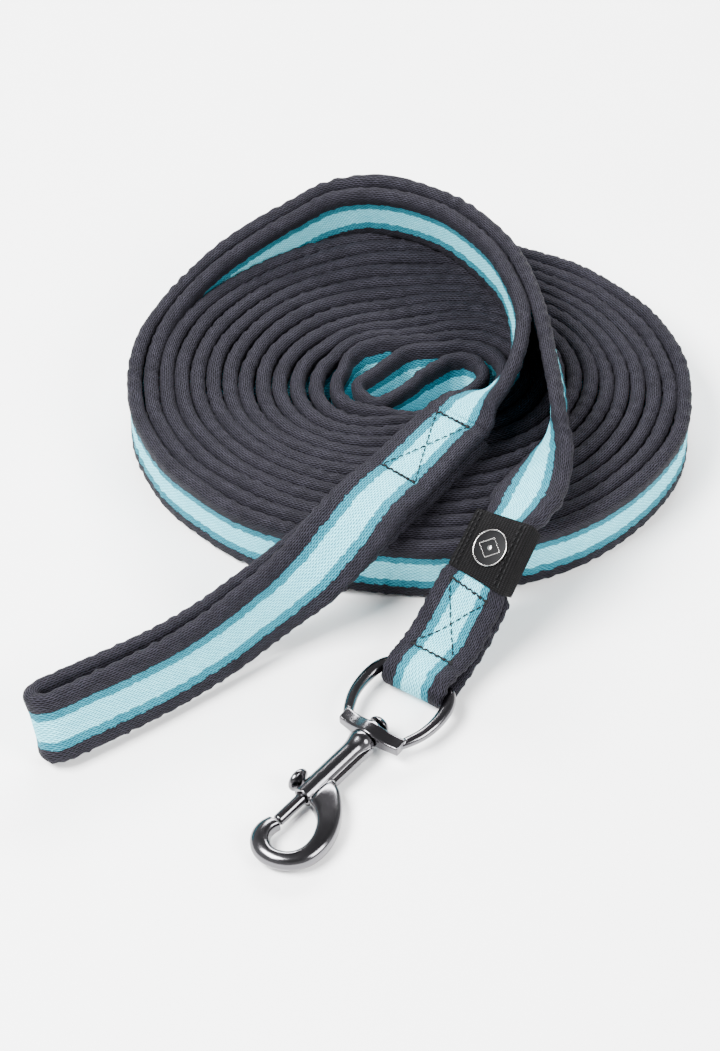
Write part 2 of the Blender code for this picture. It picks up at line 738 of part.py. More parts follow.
def make_snap(base):
    eye_pose = Matrix.Translation(Vector(BAR_CENTRE) * MM) @ heading(EYE_ANGLE, AXIS_DROP)
    eye_frame = empty_at("eye_axis", eye_pose, base)
    make_eye(eye_frame)
    boss = eye_pose @ Vector((EYE_LENGTH * MM, 0, 0))
    hook_pose = Matrix.Translation(boss) @ heading(HOOK_ANGLE, AXIS_DROP)
    hook_frame = empty_at("hook_axis", hook_pose, base)
    make_pin(hook_frame)
    make_hook_body(hook_frame)
    make_bolt(hook_frame)


def build():
    base = empty_at("coil_centre", Matrix.Translation((*(Vector(COIL_CENTRE) * MM), 0)))
    make_coil(base)
    make_lead("webbing_lead_snap", SNAP_LEAD, base, LABEL_DRAW + 3 * GAP)
    make_lead("webbing_lead_hand", HAND_LEAD, base)
    loop_route = make_hand_loop(base)
    end_route = make_snap_end(base)
    make_box_stitch("hand_box_stitch", loop_route, HAND_BOX, LOOP_SPREAD, WEB_THICKNESS, 13.4,
                    base)
    make_box_stitch("snap_box_stitch", end_route, SNAP_BOX, end_spread, END_THICKNESS, 16.0,
                    base)
    make_label(end_route, base)
    make_snap(base)


build()
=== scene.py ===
"""Training leash: the looks of the wound webbing, its hand loop and its swivel bolt snap.

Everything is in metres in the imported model's frame. Routes and drawings are in millimetres from
the coil's centre on the floor, as in the part's own source, and are scaled as they are built.
"""

import json
import math
import random

import bmesh
import bpy
import numpy as np
from mathutils import Matrix, Vector


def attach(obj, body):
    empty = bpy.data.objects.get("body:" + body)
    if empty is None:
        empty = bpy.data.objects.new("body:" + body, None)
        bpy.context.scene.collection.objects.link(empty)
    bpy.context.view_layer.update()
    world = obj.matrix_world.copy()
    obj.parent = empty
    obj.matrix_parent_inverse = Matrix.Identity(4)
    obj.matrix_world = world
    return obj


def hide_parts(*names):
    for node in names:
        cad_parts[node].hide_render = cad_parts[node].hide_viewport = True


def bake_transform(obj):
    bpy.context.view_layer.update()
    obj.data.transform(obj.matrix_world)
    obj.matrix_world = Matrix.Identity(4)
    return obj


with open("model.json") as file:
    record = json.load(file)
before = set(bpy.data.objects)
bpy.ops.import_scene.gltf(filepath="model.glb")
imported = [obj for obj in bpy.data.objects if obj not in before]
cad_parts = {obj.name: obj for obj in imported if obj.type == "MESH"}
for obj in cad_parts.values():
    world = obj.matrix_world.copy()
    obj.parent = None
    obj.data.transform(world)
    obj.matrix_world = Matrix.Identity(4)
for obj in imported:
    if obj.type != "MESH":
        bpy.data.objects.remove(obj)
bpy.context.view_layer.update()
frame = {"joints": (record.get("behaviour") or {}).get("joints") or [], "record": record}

MM = 0.001
ORIGIN = np.array(frame["record"]["mounts"][0]["pos_m"])
JOINTS = {joint["name"]: joint for joint in frame["joints"]}

# Webbing, millimetres
WEB_WIDTH = 25.0
WEB_THICKNESS = 5.2
MIDDLE_THICKNESS = 4.2  # between the padded edges
END_THICKNESS, END_MIDDLE = 4.0, 3.5
LABEL_PRESS = 1.2  # what the label takes off each layer's thickness
LABEL_DRAW = 4.4  # and off the webbing's width
LABEL_SPAN = (3.1, 23.9)  # distances along the end
LABEL_WALL = 0.8
LABEL_ROOM = 0.9  # between the label and the webbing in it, both sides together
RIB_PITCH = 1.05
EMBLEM_RADIUS = 6.2
EMBLEM_ASIDE = 1.0  # of the label's middle line
PRESS_START, PRESS_LENGTH = 35.5, 3.5  # distances from the bar over which it sets in
SEWN_FROM = 6.6  # the distance along the end where its two layers start
HAND_BOX = (2.2, 33.6)  # box stitching, as distances along the double layers
SNAP_BOX = (27.2, 54.0)
END_WIDTH = 22.6
LOOP_OPENING = 9.4
BAR_BORE = 2.5
GAP = 0.3
STEP = 1.25  # between stations along the webbing
END_STEP = 1.0
LABEL_STEP = 0.6

# Coil
PITCH = 5.96
FOLD_HALF_LENGTH = 17.0
OUTER_LAYER = 13
EXIT_ANGLE = 190.0
COIL_OFFSET = (3.06, 3.0)
COIL_TILT = math.radians(22)  # of the fold at the middle
OVALNESS = 0.85
LAYER_RADII = (5.0, 12.2, 19.0, 25.2, 31.0, 36.6, 42.2, 47.7, 53.2, 58.7, 64.2, 69.6, 75.0,
               80.46)

# Routes: centre x, y, z, then the direction from the lower or left edge to the other edge.
UP = (0.0, 0.0, 1.0)
SNAP_LEAD = [
    (-93.3, -9.2, 12.8, *UP),
    (-94.3, 0.5, 13.2, *UP),
    (-93.9, 11.5, 13.8, *UP),
    (-91.6, 22.5, 14.4, *UP),
    (-87.3, 33.0, 14.9, 0.01, -0.01, 1.0),
    (-81.9, 43.4, 15.7, 0.03, -0.02, 1.0),
    (-74.5, 52.8, 17.9, 0.05, -0.05, 1.0),
    (-65.4, 61.0, 21.8, 0.07, -0.08, 0.99),
    (-55.1, 67.9, 25.3, 0.08, -0.12, 0.99),
    (-43.6, 73.5, 29.3, 0.07, -0.16, 0.98),
    (-31.9, 78.3, 33.3, 0.05, -0.20, 0.98),
    (-18.6, 78.1, 38.2, 0.02, -0.23, 0.97),
    (-6.0, 75.9, 40.2, -0.02, -0.22, 0.97),
    (8.0, 70.6, 39.6, -0.08, -0.19, 0.98),
    (21.4, 61.8, 38.9, -0.12, -0.13, 0.98),
    (34.6, 45.0, 38.6, -0.16, -0.08, 0.98),
    (42.0, 28.4, 38.4, -0.19, -0.04, 0.98),
    (47.0, 6.0, 38.2, -0.20, 0.0, 0.98),
    (49.5, -16.6, 38.2, -0.22, 0.0, 0.975),
    (49.3, -34.0, 38.6, -0.05, -0.1, 0.99),
    (45.9, -46.8, 36.4, 0.38, -0.55, 0.72),
    (41.4, -60.8, 36.3, 0.62, -0.64, 0.42),
    (36.6, -73.4, 37.7, 0.74, -0.61, 0.28),
    (31.9, -80.1, 36.0, 0.76, -0.60, 0.26),
]
SNAP_END = [
    (33.6, -76.9, 37.6, 0.76, -0.60, 0.24),
    (30.6, -82.0, 34.9, 0.76, -0.60, 0.23),
    (27.2, -87.5, 30.9, 0.77, -0.59, 0.22),
    (22.9, -93.8, 25.2, 0.80, -0.56, 0.18),
    (18.6, -98.5, 18.0, 0.82, -0.56, 0.10),
    (13.0, -105.6, 10.6, 0.82, -0.57, 0.0),
    (7.8, -113.0, 7.3, 0.82, -0.57, 0.0),
    (4.0, -119.0, 7.0, 0.82, -0.57, 0.0),
]
HAND_LEAD = [
    (-87.4, -8.3, 12.8, *UP),
    (-88.5, 0.5, 12.9, *UP),
    (-88.1, 10.9, 13.5, *UP),
    (-85.9, 21.1, 14.7, *UP),
    (-82.0, 31.0, 16.0, 0.01, -0.01, 1.0),
    (-76.8, 40.6, 17.2, 0.03, -0.02, 1.0),
    (-70.1, 49.5, 19.0, 0.05, -0.05, 1.0),
    (-61.6, 57.1, 21.6, 0.07, -0.08, 0.99),
    (-51.9, 63.5, 25.0, 0.08, -0.12, 0.99),
    (-41.3, 68.6, 29.0, 0.07, -0.16, 0.98),
    (-29.8, 72.5, 33.4, 0.05, -0.20, 0.98),
    (-18.0, 72.0, 37.8, 0.02, -0.24, 0.97),
    (-6.0, 70.2, 38.6, -0.02, -0.22, 0.97),
    (6.0, 65.6, 38.5, -0.07, -0.19, 0.98),
    (16.8, 57.9, 38.4, -0.10, -0.14, 0.98),
    (28.6, 43.0, 38.3, -0.10, -0.08, 0.99),
    (35.1, 29.0, 38.3, -0.12, -0.04, 0.99),
    (38.4, 10.0, 38.1, 0.05, 0.0, 1.0),
    (36.8, -5.0, 38.1, 0.15, 0.0, 0.99),
    (33.0, -14.6, 37.8, 0.30, -0.15, 0.94),
    (28.4, -20.0, 36.9, 0.52, -0.36, 0.78),
    (21.2, -25.3, 35.7, 0.74, -0.56, 0.38),
    (16.8, -30.8, 34.5, 0.79, -0.60, 0.08),
]
HAND_LOOP = [
    (16.8, -31.0, 31.4, 0.80, -0.60, 0.06),
    (12.1, -37.0, 31.4, 0.80, -0.60, 0.06),
    (5.0, -46.6, 31.4, 0.79, -0.61, 0.02),
    (-2.0, -56.0, 31.4, 0.78, -0.62, -0.02),
    (-12.0, -69.6, 32.8, 0.74, -0.66, -0.10),
    (-21.4, -81.6, 31.4, 0.62, -0.62, -0.46),
    (-31.1, -89.6, 26.4, 0.52, -0.40, -0.75),
    (-40.9, -95.2, 21.4, 0.47, -0.18, -0.86),
    (-50.2, -101.2, 17.8, 0.41, -0.16, -0.90),
    (-60.6, -109.2, 15.2, 0.36, -0.16, -0.92),
    (-73.8, -118.6, 13.6, 0.31, -0.16, -0.93),
    (-86.4, -127.0, 13.4, 0.30, -0.18, -0.93),
    (-98.4, -134.4, 13.4, 0.30, -0.20, -0.93),
    (-109.2, -141.0, 13.4, 0.30, -0.20, -0.93),
]


def smoothstep(value):
    value = np.clip(value, 0.0, 1.0)
    return value * value * (3 - 2 * value)


def mix(a, b, t):
    return a + (b - a) * t


def metres(points):
    """Millimetres from the coil's centre to metres in the row frame."""
    return np.asarray(points) * MM + ORIGIN


def unit(vectors):
    """One vector, or rows of them, brought to length one."""
    return vectors / np.linalg.norm(vectors, axis=-1, keepdims=True)


def distances(points):
    """The distance along a line of points to each of them."""
    gaps = np.linalg.norm(np.diff(points, axis=0), axis=1)
    return np.concatenate([[0.0], np.cumsum(gaps)])


def read_at(wanted, along, rows):
    """Rows known at the distances along, read at the wanted distances."""
    return np.stack([np.interp(wanted, along, column) for column in rows.T], axis=-1)


def linked(name, data):
    item = bpy.data.objects.new(name, data)
    bpy.context.scene.collection.objects.link(item)
    return item


# -------------------- node materials

class Value:
    """A value in a node tree, for sums written in the usual way."""

    def __init__(self, nodes, socket):
        self.nodes, self.socket = nodes, socket

    def __add__(self, other):
        return self.nodes.math('ADD', self, other)

    def __sub__(self, other):
        return self.nodes.math('SUBTRACT', self, other)

    def __rsub__(self, other):
        return self.nodes.math('SUBTRACT', other, self)

    def __mul__(self, other):
        return self.nodes.math('MULTIPLY', self, other)

    def __truediv__(self, other):
        return self.nodes.math('DIVIDE', self, other)

    def __mod__(self, other):
        return self.nodes.math('MODULO', self, other)

    def __abs__(self):
        return self.nodes.math('ABSOLUTE', self)

    def floor(self):
        return self.nodes.math('FLOOR', self)

    def fraction(self):
        """The part after the point, less a half."""
        return self.nodes.math('FRACT', self) - 0.5


class Nodes:
    """A short way of building a material's node tree."""

    def __init__(self, name):
        self.material = bpy.data.materials.new(name)
        self.material.use_nodes = True
        self.tree = self.material.node_tree
        self.shader = self.tree.nodes["Principled BSDF"]

    def put(self, socket, value):
        if isinstance(value, Value):
            self.tree.links.new(value.socket, socket)
        else:
            socket.default_value = value

    def node(self, kind, *values, **inputs):
        """A new node, its first sockets given in order and others by name."""
        made = self.tree.nodes.new("ShaderNode" + kind)
        for socket, value in zip(made.inputs, values):
            self.put(socket, value)
        for key, value in inputs.items():
            self.put(made.inputs[key.replace("_", " ")], value)
        return made

    def out(self, output, kind, *values, **inputs):
        """One output of a new node."""
        return Value(self, self.node(kind, *values, **inputs).outputs[output])

    def math(self, operation, *values, clamp=False):
        made = self.node("Math", *values)
        made.operation = operation
        made.use_clamp = clamp
        return Value(self, made.outputs[0])

    def step(self, value, low, high, start=0.0, end=1.0):
        """A smooth ramp from start to end as value goes from low to high."""
        made = self.node("MapRange", value, low, high, start, end)
        made.interpolation_type = 'SMOOTHSTEP'
        return Value(self, made.outputs[0])

    def blend(self, factor, a, b):
        made = self.node("Mix")
        made.data_type = 'RGBA'
        for key, value in (("Factor", factor), ("A", a), ("B", b)):
            self.put(made.inputs[key], value)
        return Value(self, made.outputs["Result"])

    def noise(self, vector, scale, detail=2.0, rough=0.5):
        return self.out("Fac", "TexNoise", Vector=vector, Scale=scale, Detail=detail,
                        Roughness=rough)

    def place(self):
        return self.out("Object", "TexCoord")

    def uv(self, name):
        made = self.node("UVMap")
        made.uv_map = name
        split = self.node("SeparateXYZ", Vector=Value(self, made.outputs["UV"]))
        return Value(self, split.outputs["X"]), Value(self, split.outputs["Y"])

    def join(self, x, y):
        return self.out("Vector", "CombineXYZ", x, y)

    def bump(self, height, distance, strength):
        return self.out("Normal", "Bump", Height=height, Distance=distance, Strength=strength)

    def surface(self, **inputs):
        for key, value in inputs.items():
            self.put(self.shader.inputs[key.replace("_", " ")], value)
        return self.material


def colour(r, g, b):
    return (r, g, b, 1.0)


# Each yarn has a base colour, a lighter one that is painted highlight on the floats' tops mixed
# with random paler yarns, and a near-black one that is painted shade in the slits and at the
# floats' edges.
CHARCOAL = colour(0.0042, 0.0040, 0.0060)
CHARCOAL_HIGHLIGHT_AND_TONE = colour(0.0270, 0.0255, 0.0350)
CHARCOAL_PAINTED_SHADE = colour(0.0002, 0.0002, 0.0003)
TEAL = colour(0.008, 0.110, 0.155)
TEAL_HIGHLIGHT_AND_TONE = colour(0.036, 0.250, 0.320)
TEAL_PAINTED_SHADE = colour(0.001, 0.022, 0.036)
PALE = colour(0.115, 0.500, 0.630)
PALE_HIGHLIGHT_AND_TONE = colour(0.290, 0.880, 0.980)
PALE_PAINTED_SHADE = colour(0.010, 0.090, 0.135)
FLOAT_LENGTH, FLOAT_WIDTH = 1.55, 0.68  # one float of the weave, millimetres
TEAL_FROM, DARK_FROM, STRIPE_BLUR = 3.85, 6.75, 0.3  # from the middle of the webbing


def webbing_material():
    """Brick-like weave in three colours, from the webbing's own two UV maps in millimetres.

    "weave" is the distance along and round the webbing, "band" the distance along and the
    place across its width, so that the stripes and the weave each keep their true size.
    """
    n = Nodes("webbing_weave")
    along, around = n.uv("weave")
    _, across = n.uv("band")
    wander = n.noise(n.join(along, around), 0.35) - 0.5
    jitter = wander * 0.7

    def brick(rows):
        """The row, the place along it in floats, and the place in one from -0.5 to 0.5."""
        row = rows.floor()
        columns = along / FLOAT_LENGTH + ((row + 400.0) % 2.0 * 0.5 + jitter)
        return row, columns, columns.fraction(), rows.fraction()

    rows = (around + wander * 0.6) / FLOAT_WIDTH
    row, columns, x, y = brick(rows)
    x_fall = x * x * 4.0
    y_fall = y * y * 4.0
    float_height = n.math('MULTIPLY', 1.0 - x_fall * x_fall * 0.5, 1.0 - y_fall * 0.6, clamp=True)
    # open slits between the floats, staggered from row to row
    _, _, reach, off = brick(rows + 0.5)
    slit = n.step(abs(off), 0.13, 0.36, 1.0, 0.0) * n.step(abs(reach), 0.25, 0.42, 1.0, 0.0)
    height = n.math('SUBTRACT', float_height, slit, clamp=True)
    tone = n.out("Value", "TexWhiteNoise", Vector=n.join(columns.floor(), row))
    fibre = n.noise(n.join(along * 3.0, around * 14.0), 1.0, 3.0, 0.7)
    patch = n.noise(n.join(along * 0.12, around * 0.3), 1.0, 3.0)

    ripple = (n.noise(n.join(along * 0.34, 0.0), 1.0, 3.0, 0.7) - 0.5) * 2.6
    place = abs(across) + (ripple + (tone - 0.5) * 0.35)
    is_teal = n.step(place, TEAL_FROM, TEAL_FROM + STRIPE_BLUR)
    is_dark = n.step(place, DARK_FROM, DARK_FROM + STRIPE_BLUR)
    # lighter where the floats stand high: painted highlight, mixed with the yarns' random tone and
    # fibres
    float_highlight_and_tone = n.step(height * 0.5 + (tone * 0.25 + fibre * 0.45), 0.2, 1.1)
    # darker in the slits between floats and where the floats fall off at their edges: painted shade
    painted_shade = n.math('ADD', slit * 0.9, n.step(float_height, 0.3, 0.75, 0.35, 0.0), clamp=True)

    # one yarn: its base colour lifted towards the painted highlight and darkened towards the
    # painted shade
    def yarn(base, light, dark, shade_strength):
        return n.blend(painted_shade * shade_strength, n.blend(float_highlight_and_tone * (patch + 0.35), base, light), dark)

    charcoal = yarn(CHARCOAL, CHARCOAL_HIGHLIGHT_AND_TONE, CHARCOAL_PAINTED_SHADE, 0.95)
    teal = yarn(TEAL, TEAL_HIGHLIGHT_AND_TONE, TEAL_PAINTED_SHADE, 0.85)
    pale = yarn(PALE, PALE_HIGHLIGHT_AND_TONE, PALE_PAINTED_SHADE, 0.85)
    return n.surface(Base_Color=n.blend(is_dark, n.blend(is_teal, pale, teal), charcoal),
                     Roughness=fibre * 0.2 + 0.62,
                     Normal=n.bump(height + fibre * 0.25, 0.00022, 0.9),
                     Sheen_Weight=0.008, Sheen_Roughness=0.4, Specular_IOR_Level=0.06)


# -------------------- webbing geometry

def catmull(values, i, t):
    a, b, c, d = values[i - 1], values[i], values[i + 1], values[i + 2]
    return 0.5 * (2 * b + (c - a) * t + (2 * a - 5 * b + 4 * c - d) * t * t
                  + (3 * b - a - 3 * c + d) * t * t * t)


def route_frames(rows, step=STEP):
    """Frames at an even spacing along a smooth curve through a route's rows."""
    rows = np.array(rows, float)
    rows[:, 3:] = unit(rows[:, 3:])
    padded = np.vstack([rows[0], rows, rows[-1]])
    padded[0, :3] = 2 * rows[0, :3] - rows[1, :3]
    padded[-1, :3] = 2 * rows[-1, :3] - rows[-2, :3]
    fine = [catmull(padded, i, j / 40) for i in range(1, len(padded) - 2) for j in range(40)]
    return frames_of(resample(np.array(fine + [padded[-2]]), step))


def resample(rows, step):
    """Rows of (centre, across, ...) spaced evenly by the distance between their centres."""
    along = distances(rows[:, :3])
    count = max(2, int(round(along[-1] / step)))
    return read_at(np.linspace(0.0, along[-1], count + 1), along, rows)


def frames_of(stations):
    """Arrays of centre, across, normal and distance, with across square to the route."""
    centre = stations[:, :3]
    ahead = unit(np.gradient(centre, axis=0))
    across = stations[:, 3:6]
    across = unit(across - ahead * np.sum(across * ahead, axis=1)[:, None])
    return centre, across, np.cross(ahead, across), distances(centre)


def doubled_frames(rows, apart, step=STEP, bend_steps=10, start=0.0):
    """Frames out along one side of a route and back along the other, round its end."""
    frames = route_frames(rows, step)
    centre, across, normal, along = [part[frames[3] >= start] for part in frames]
    gap = apart(along[-1] - along)[:, None] / 2
    back, front = centre - normal * gap, centre + normal * gap
    ahead = np.cross(across[-1], normal[-1])
    turns = np.linspace(0, math.pi, bend_steps + 1)[1:-1]
    out = np.array([ahead * math.sin(t) - normal[-1] * math.cos(t) for t in turns])
    centres = np.vstack([back, centre[-1] + gap[-1] * out, front[::-1]])
    sides = np.vstack([across, np.repeat(across[-1:], len(turns), 0), across[::-1]])
    normals = np.vstack([normal, -out, -normal[::-1]])
    return centres, sides, normals, distances(centres)


def spread(near, far, reach):
    """A distance between layers that grows from near to far over the last stretch."""
    return lambda left: near + (far - near) * smoothstep(1 - left / reach)


LOOP_SPREAD = spread(WEB_THICKNESS + 2 * GAP, LOOP_OPENING, 95.0)
END_SPREAD = spread(END_THICKNESS + GAP, 2 * BAR_BORE + END_THICKNESS, 17.0)


def pressed(left):
    """How far the label has set in at a distance from the bar, from 0 to 1."""
    return smoothstep((left - PRESS_START) / PRESS_LENGTH)


def end_spread(left):
    """The distance between the two sewn layers, at a distance from the bar."""
    return END_SPREAD(left) - LABEL_PRESS * pressed(left)


def pinch(distance, rows):
    """How much of the webbing's thickness is left where thread is pulled tight across it."""
    return 1 - sum(0.3 * np.exp(-((distance - row) / 1.3) ** 2) for row in rows)


def there_and_back(frames):
    """The distance from the nearer end of doubled webbing."""
    return np.minimum(frames[3], frames[3][-1] - frames[3])


FACE_POINTS, EDGE_POINTS = 11, 8  # of the cross-section
PADDED_FROM, PADDED_REACH = 7.0, 5.0  # where the edges' padding sets in
EDGE_WAVES, FACE_WAVES = (2.6, 7.0), (3.4, 9.0)  # shortest and longest puckers


def half_thickness(u, width, edge_thickness, middle_thickness):
    """Half the webbing's thickness at a place across it, with its padded edges."""
    radius = edge_thickness / 2
    flat = width / 2 - radius
    rise = smoothstep((np.abs(u) - flat * 0.45) / (flat * 0.5))
    return middle_thickness / 2 + (radius - middle_thickness / 2) * rise


def web_section(width, edge_thickness, middle_thickness):
    """The cross-section: (u, v) points and the distance round them."""
    radius = edge_thickness / 2
    flat = width / 2 - radius
    us = np.linspace(-flat, flat, FACE_POINTS)
    half = half_thickness(us, width, edge_thickness, middle_thickness)
    turn = np.radians(np.linspace(90, -90, EDGE_POINTS + 1)[1:-1])
    right = np.stack([flat + radius * np.cos(turn), radius * np.sin(turn)], axis=1)
    top, bottom = np.stack([us, half], axis=1), np.stack([us[::-1], -half], axis=1)
    points = np.vstack([top, right, bottom, -right])
    return points, distances(np.vstack([points, points[:1]]))


def waves(rng, along, low, high):
    """A smooth irregular value along the webbing, about -1 to 1, with lengths low to high."""
    total = np.zeros_like(along)
    for _ in range(5):
        length = rng.uniform(low, high)
        total += np.sin(along * 2 * math.pi / length + rng.uniform(0, 6.28)) / 5 ** 0.5
    return total


def web_mesh(name, frames, seed, thickness=WEB_THICKNESS, middle=MIDDLE_THICKNESS, narrow=1.0,
             thin=1.0):
    """The webbing as one closed skin with puckers, and its two UV maps in millimetres.

    narrow and thin are the shares of its width and thickness that are left.
    """
    centre, across, normal, along = frames
    rng = random.Random(seed)
    count = len(centre)
    section, around = web_section(WEB_WIDTH, thickness, middle)
    size = len(section)
    u = section[:, 0] * np.broadcast_to(narrow, count)[:, None]
    v = section[:, 1] * np.broadcast_to(thin, count)[:, None]
    edge = np.clip((np.abs(section[:, 0]) - PADDED_FROM) / PADDED_REACH, 0, 1)
    left, right = (waves(rng, along, *EDGE_WAVES)[:, None] for _ in range(2))
    face, back = (waves(rng, along, *FACE_WAVES)[:, None] for _ in range(2))
    edge_wave = np.where(section[:, 0] > 0, right, left)
    face_wave = np.where(section[:, 1] > 0, face, back)
    v = v * (1 + 0.055 * edge_wave * edge + 0.07 * face_wave * (1 - edge))
    u = u + 0.24 * edge_wave * edge * np.sign(u)
    points = (centre[:, None, :] + across[:, None, :] * u[:, :, None]
              + normal[:, None, :] * v[:, :, None])
    ring = np.arange(size)
    following = (ring + 1) % size
    low = np.arange(count - 1)[:, None] * size
    high = low + size
    faces = np.stack([low + ring, high + ring, high + following, low + following], axis=-1)
    caps = [ring.tolist(), (ring[::-1] + (count - 1) * size).tolist()]
    mesh = bpy.data.meshes.new(name)
    mesh.from_pydata(metres(points).reshape(-1, 3).tolist(), [],
                     faces.reshape(-1, 4).tolist() + caps)
    mesh.shade_smooth()
    weave = np.empty((count - 1, size, 4, 2))
    weave[:, :, 0, 0] = weave[:, :, 3, 0] = along[:-1, None]
    weave[:, :, 1, 0] = weave[:, :, 2, 0] = along[1:, None]
    weave[:, :, :2, 1] = around[:-1, None]
    weave[:, :, 2:, 1] = around[1:, None]
    band = weave.copy()
    band[:, :, :2, 1] = section[:, :1]
    band[:, :, 2:, 1] = section[following, :1]
    cap = np.tile([0.0, WEB_WIDTH / 2], 2 * size)
    for label, values in (("weave", weave), ("band", band)):
        data = np.concatenate([values.ravel(), cap]).astype(np.float32)
        mesh.uv_layers.new(name=label).data.foreach_set("uv", data)
    mesh.validate()
    return linked(name, mesh)


def finish_folded(item, frames, material, node):
    """A piece of webbing, given its material and attached to the webbing body in place of its CAD
    part.
    """
    finish_piece(item, material, "webbing", "webbing", node)
    frames[3][-1] * MM


# -------------------- the coil

def winding_point(side, layer, angle):
    """A point on the middle line of one turn, in millimetres from the coil's centre.

    side is -1 for the left half turns and 1 for the right ones.
    """
    centre_y = 0.0 if side < 0 else -PITCH
    radius = LAYER_RADII[layer]
    roundness = OVALNESS * smoothstep(radius / 80.0)
    turn = math.radians(angle)
    cosine = abs(math.cos(turn))
    x = side * (FOLD_HALF_LENGTH * (1 - roundness + roundness * cosine) + radius * cosine)
    y = centre_y + radius * math.sin(turn)
    tilt = COIL_TILT * (1 - smoothstep((radius - 8) / 62))
    return np.array([x * math.cos(tilt) - y * math.sin(tilt) + COIL_OFFSET[0],
                     x * math.sin(tilt) + y * math.cos(tilt) + COIL_OFFSET[1]])


def arc(side, layer, start, end):
    count = max(6, int(abs(end - start) / 3))
    return [winding_point(side, layer, mix(start, end, i / count)) for i in range(count + 1)]


def coil_line():
    """The webbing's middle line from one exit to the other, through the fold at the centre."""
    line = arc(-1, OUTER_LAYER, EXIT_ANGLE, 270)
    for layer in range(OUTER_LAYER - 1, 0, -2):
        line += arc(1, layer, -90, 90) + arc(-1, layer - 1, 90, 270)
    line += arc(1, 0, -90, 90) + arc(-1, 0, 270, 90)
    for layer in range(1, OUTER_LAYER - 1, 2):
        end = 90 if layer + 1 < OUTER_LAYER - 1 else EXIT_ANGLE
        line += arc(1, layer, 90, -90) + arc(-1, layer + 1, 270, end)
    return np.array(line)


OPENINGS = [  # ends x, y in the untilted fold, push, lean: slits at the middle
    ((-22.0, 9.0), (-1.0, 9.2), 1.8, 0.30),
    ((-20.0, 0.0), (10.0, 2.4), 2.1, 0.30),
    ((-14.0, -8.4), (20.0, -5.6), 2.5, 0.36),
]
OPENING_REACH = 27.0


def opened(points):
    """Sideways pushes and extra lean that part the turns round the slits at the middle."""
    turn = np.array([[math.cos(COIL_TILT), -math.sin(COIL_TILT)],
                     [math.sin(COIL_TILT), math.cos(COIL_TILT)]])
    push = np.zeros_like(points)
    lean = np.zeros(len(points))
    for start, end, width, slope in OPENINGS:
        a, b = turn @ np.array(start) + COIL_OFFSET, turn @ np.array(end) + COIL_OFFSET
        length = np.linalg.norm(b - a)
        ahead = (b - a) / length
        side = np.array([-ahead[1], ahead[0]])
        t = (points - a) @ ahead / length
        d = (points - a) @ side
        share = (np.clip(1 - (2 * t - 1) ** 2 / 1.35, 0, 1)
                 * (1 - smoothstep(np.abs(d) / OPENING_REACH)) * np.tanh(d / 1.2))
        push += side * (share * width)[:, None]
        lean += share * slope
    return push, lean


def make_coil(material):
    flat = resample(coil_line(), 1.0)
    for _ in range(3):  # round off the joins between half turns
        flat[1:-1] = (flat[:-2] + 2 * flat[1:-1] + flat[2:]) / 4
    rng = random.Random(7)
    along = distances(flat)
    reach = np.linalg.norm(flat - COIL_OFFSET, axis=1)
    push, lean = opened(flat)
    lift = np.clip(0.4 * waves(rng, along, 50.0, 190.0), -0.1, 1.0)
    outside = np.clip((reach - 40) / 25, 0, 1)
    behind = np.clip((flat[:, 1] - 40) / 25, 0, 1) * np.clip(1 - np.abs(flat[:, 0] + 12) / 42, 0, 1)
    lift += 2.6 * outside * behind
    outward = (flat - COIL_OFFSET) / np.maximum(reach, 1.0)[:, None]
    flat = flat + push + outward * (0.22 * waves(rng, along, 25.0, 90.0))[:, None]
    stations = np.column_stack([flat, WEB_WIDTH / 2 + 0.5 + lift, np.zeros(len(flat)), lean,
                                np.ones(len(flat)), reach])
    stations[0, :3] = SNAP_LEAD[0][:3]
    stations[-1, :3] = HAND_LEAD[0][:3]
    stations = resample(stations, STEP)
    frames = frames_of(stations)
    inner = np.clip((40 - stations[:, 6]) / 20, 0, 1)
    coil = web_mesh("coiled_webbing", frames, 11, thin=1 - 0.14 * inner)
    finish_folded(coil, frames, material, "webbing_coil")


def make_lead(name, node, rows, seed, material, drawn=0.0):
    """One lead; drawn is how much narrower its last end is."""
    frames = route_frames(rows)
    length = frames[3][-1]
    narrow = 1 - drawn / WEB_WIDTH * smoothstep(1 - (length - frames[3]) / 12)
    lead = web_mesh(name, frames, seed, narrow=narrow)
    finish_piece(lead, material, "webbing", "webbing", node)
    length * MM


def make_hand_loop(material):
    frames = doubled_frames(HAND_LOOP, LOOP_SPREAD)
    loop = web_mesh("hand_loop", frames, 23, thin=pinch(there_and_back(frames), HAND_BOX))
    finish_folded(loop, frames, material, "hand_loop_webbing")


def make_snap_end(material):
    frames = doubled_frames(SNAP_END, end_spread, END_STEP, 14, SEWN_FROM)
    count = len(frames[0])
    distance = there_and_back(frames) + SEWN_FROM
    to_bar = smoothstep(1 - np.abs(np.arange(count) - count / 2) / (count / 4))
    share = pressed(route_frames(SNAP_END, END_STEP)[3][-1] - distance)
    narrow = 1 + ((END_WIDTH - WEB_WIDTH) * to_bar - LABEL_DRAW * share) / WEB_WIDTH
    thin = (1 - LABEL_PRESS * share / END_THICKNESS) * pinch(distance, SNAP_BOX)
    end = web_mesh("snap_end", frames, 31, END_THICKNESS, END_MIDDLE, narrow, thin)
    finish_folded(end, frames, material, "snap_end_webbing")


# -------------------- building blocks

def from_arrays(name, points, faces):
    """A mesh object from points in the row frame, in metres."""
    mesh = bpy.data.meshes.new(name)
    mesh.from_pydata([tuple(v) for v in points], [], [tuple(f) for f in faces])
    mesh.validate()
    shape = bmesh.new()
    shape.from_mesh(mesh)
    bmesh.ops.recalc_face_normals(shape, faces=shape.faces)
    shape.to_mesh(mesh)
    shape.free()
    mesh.shade_smooth()
    return linked(name, mesh)


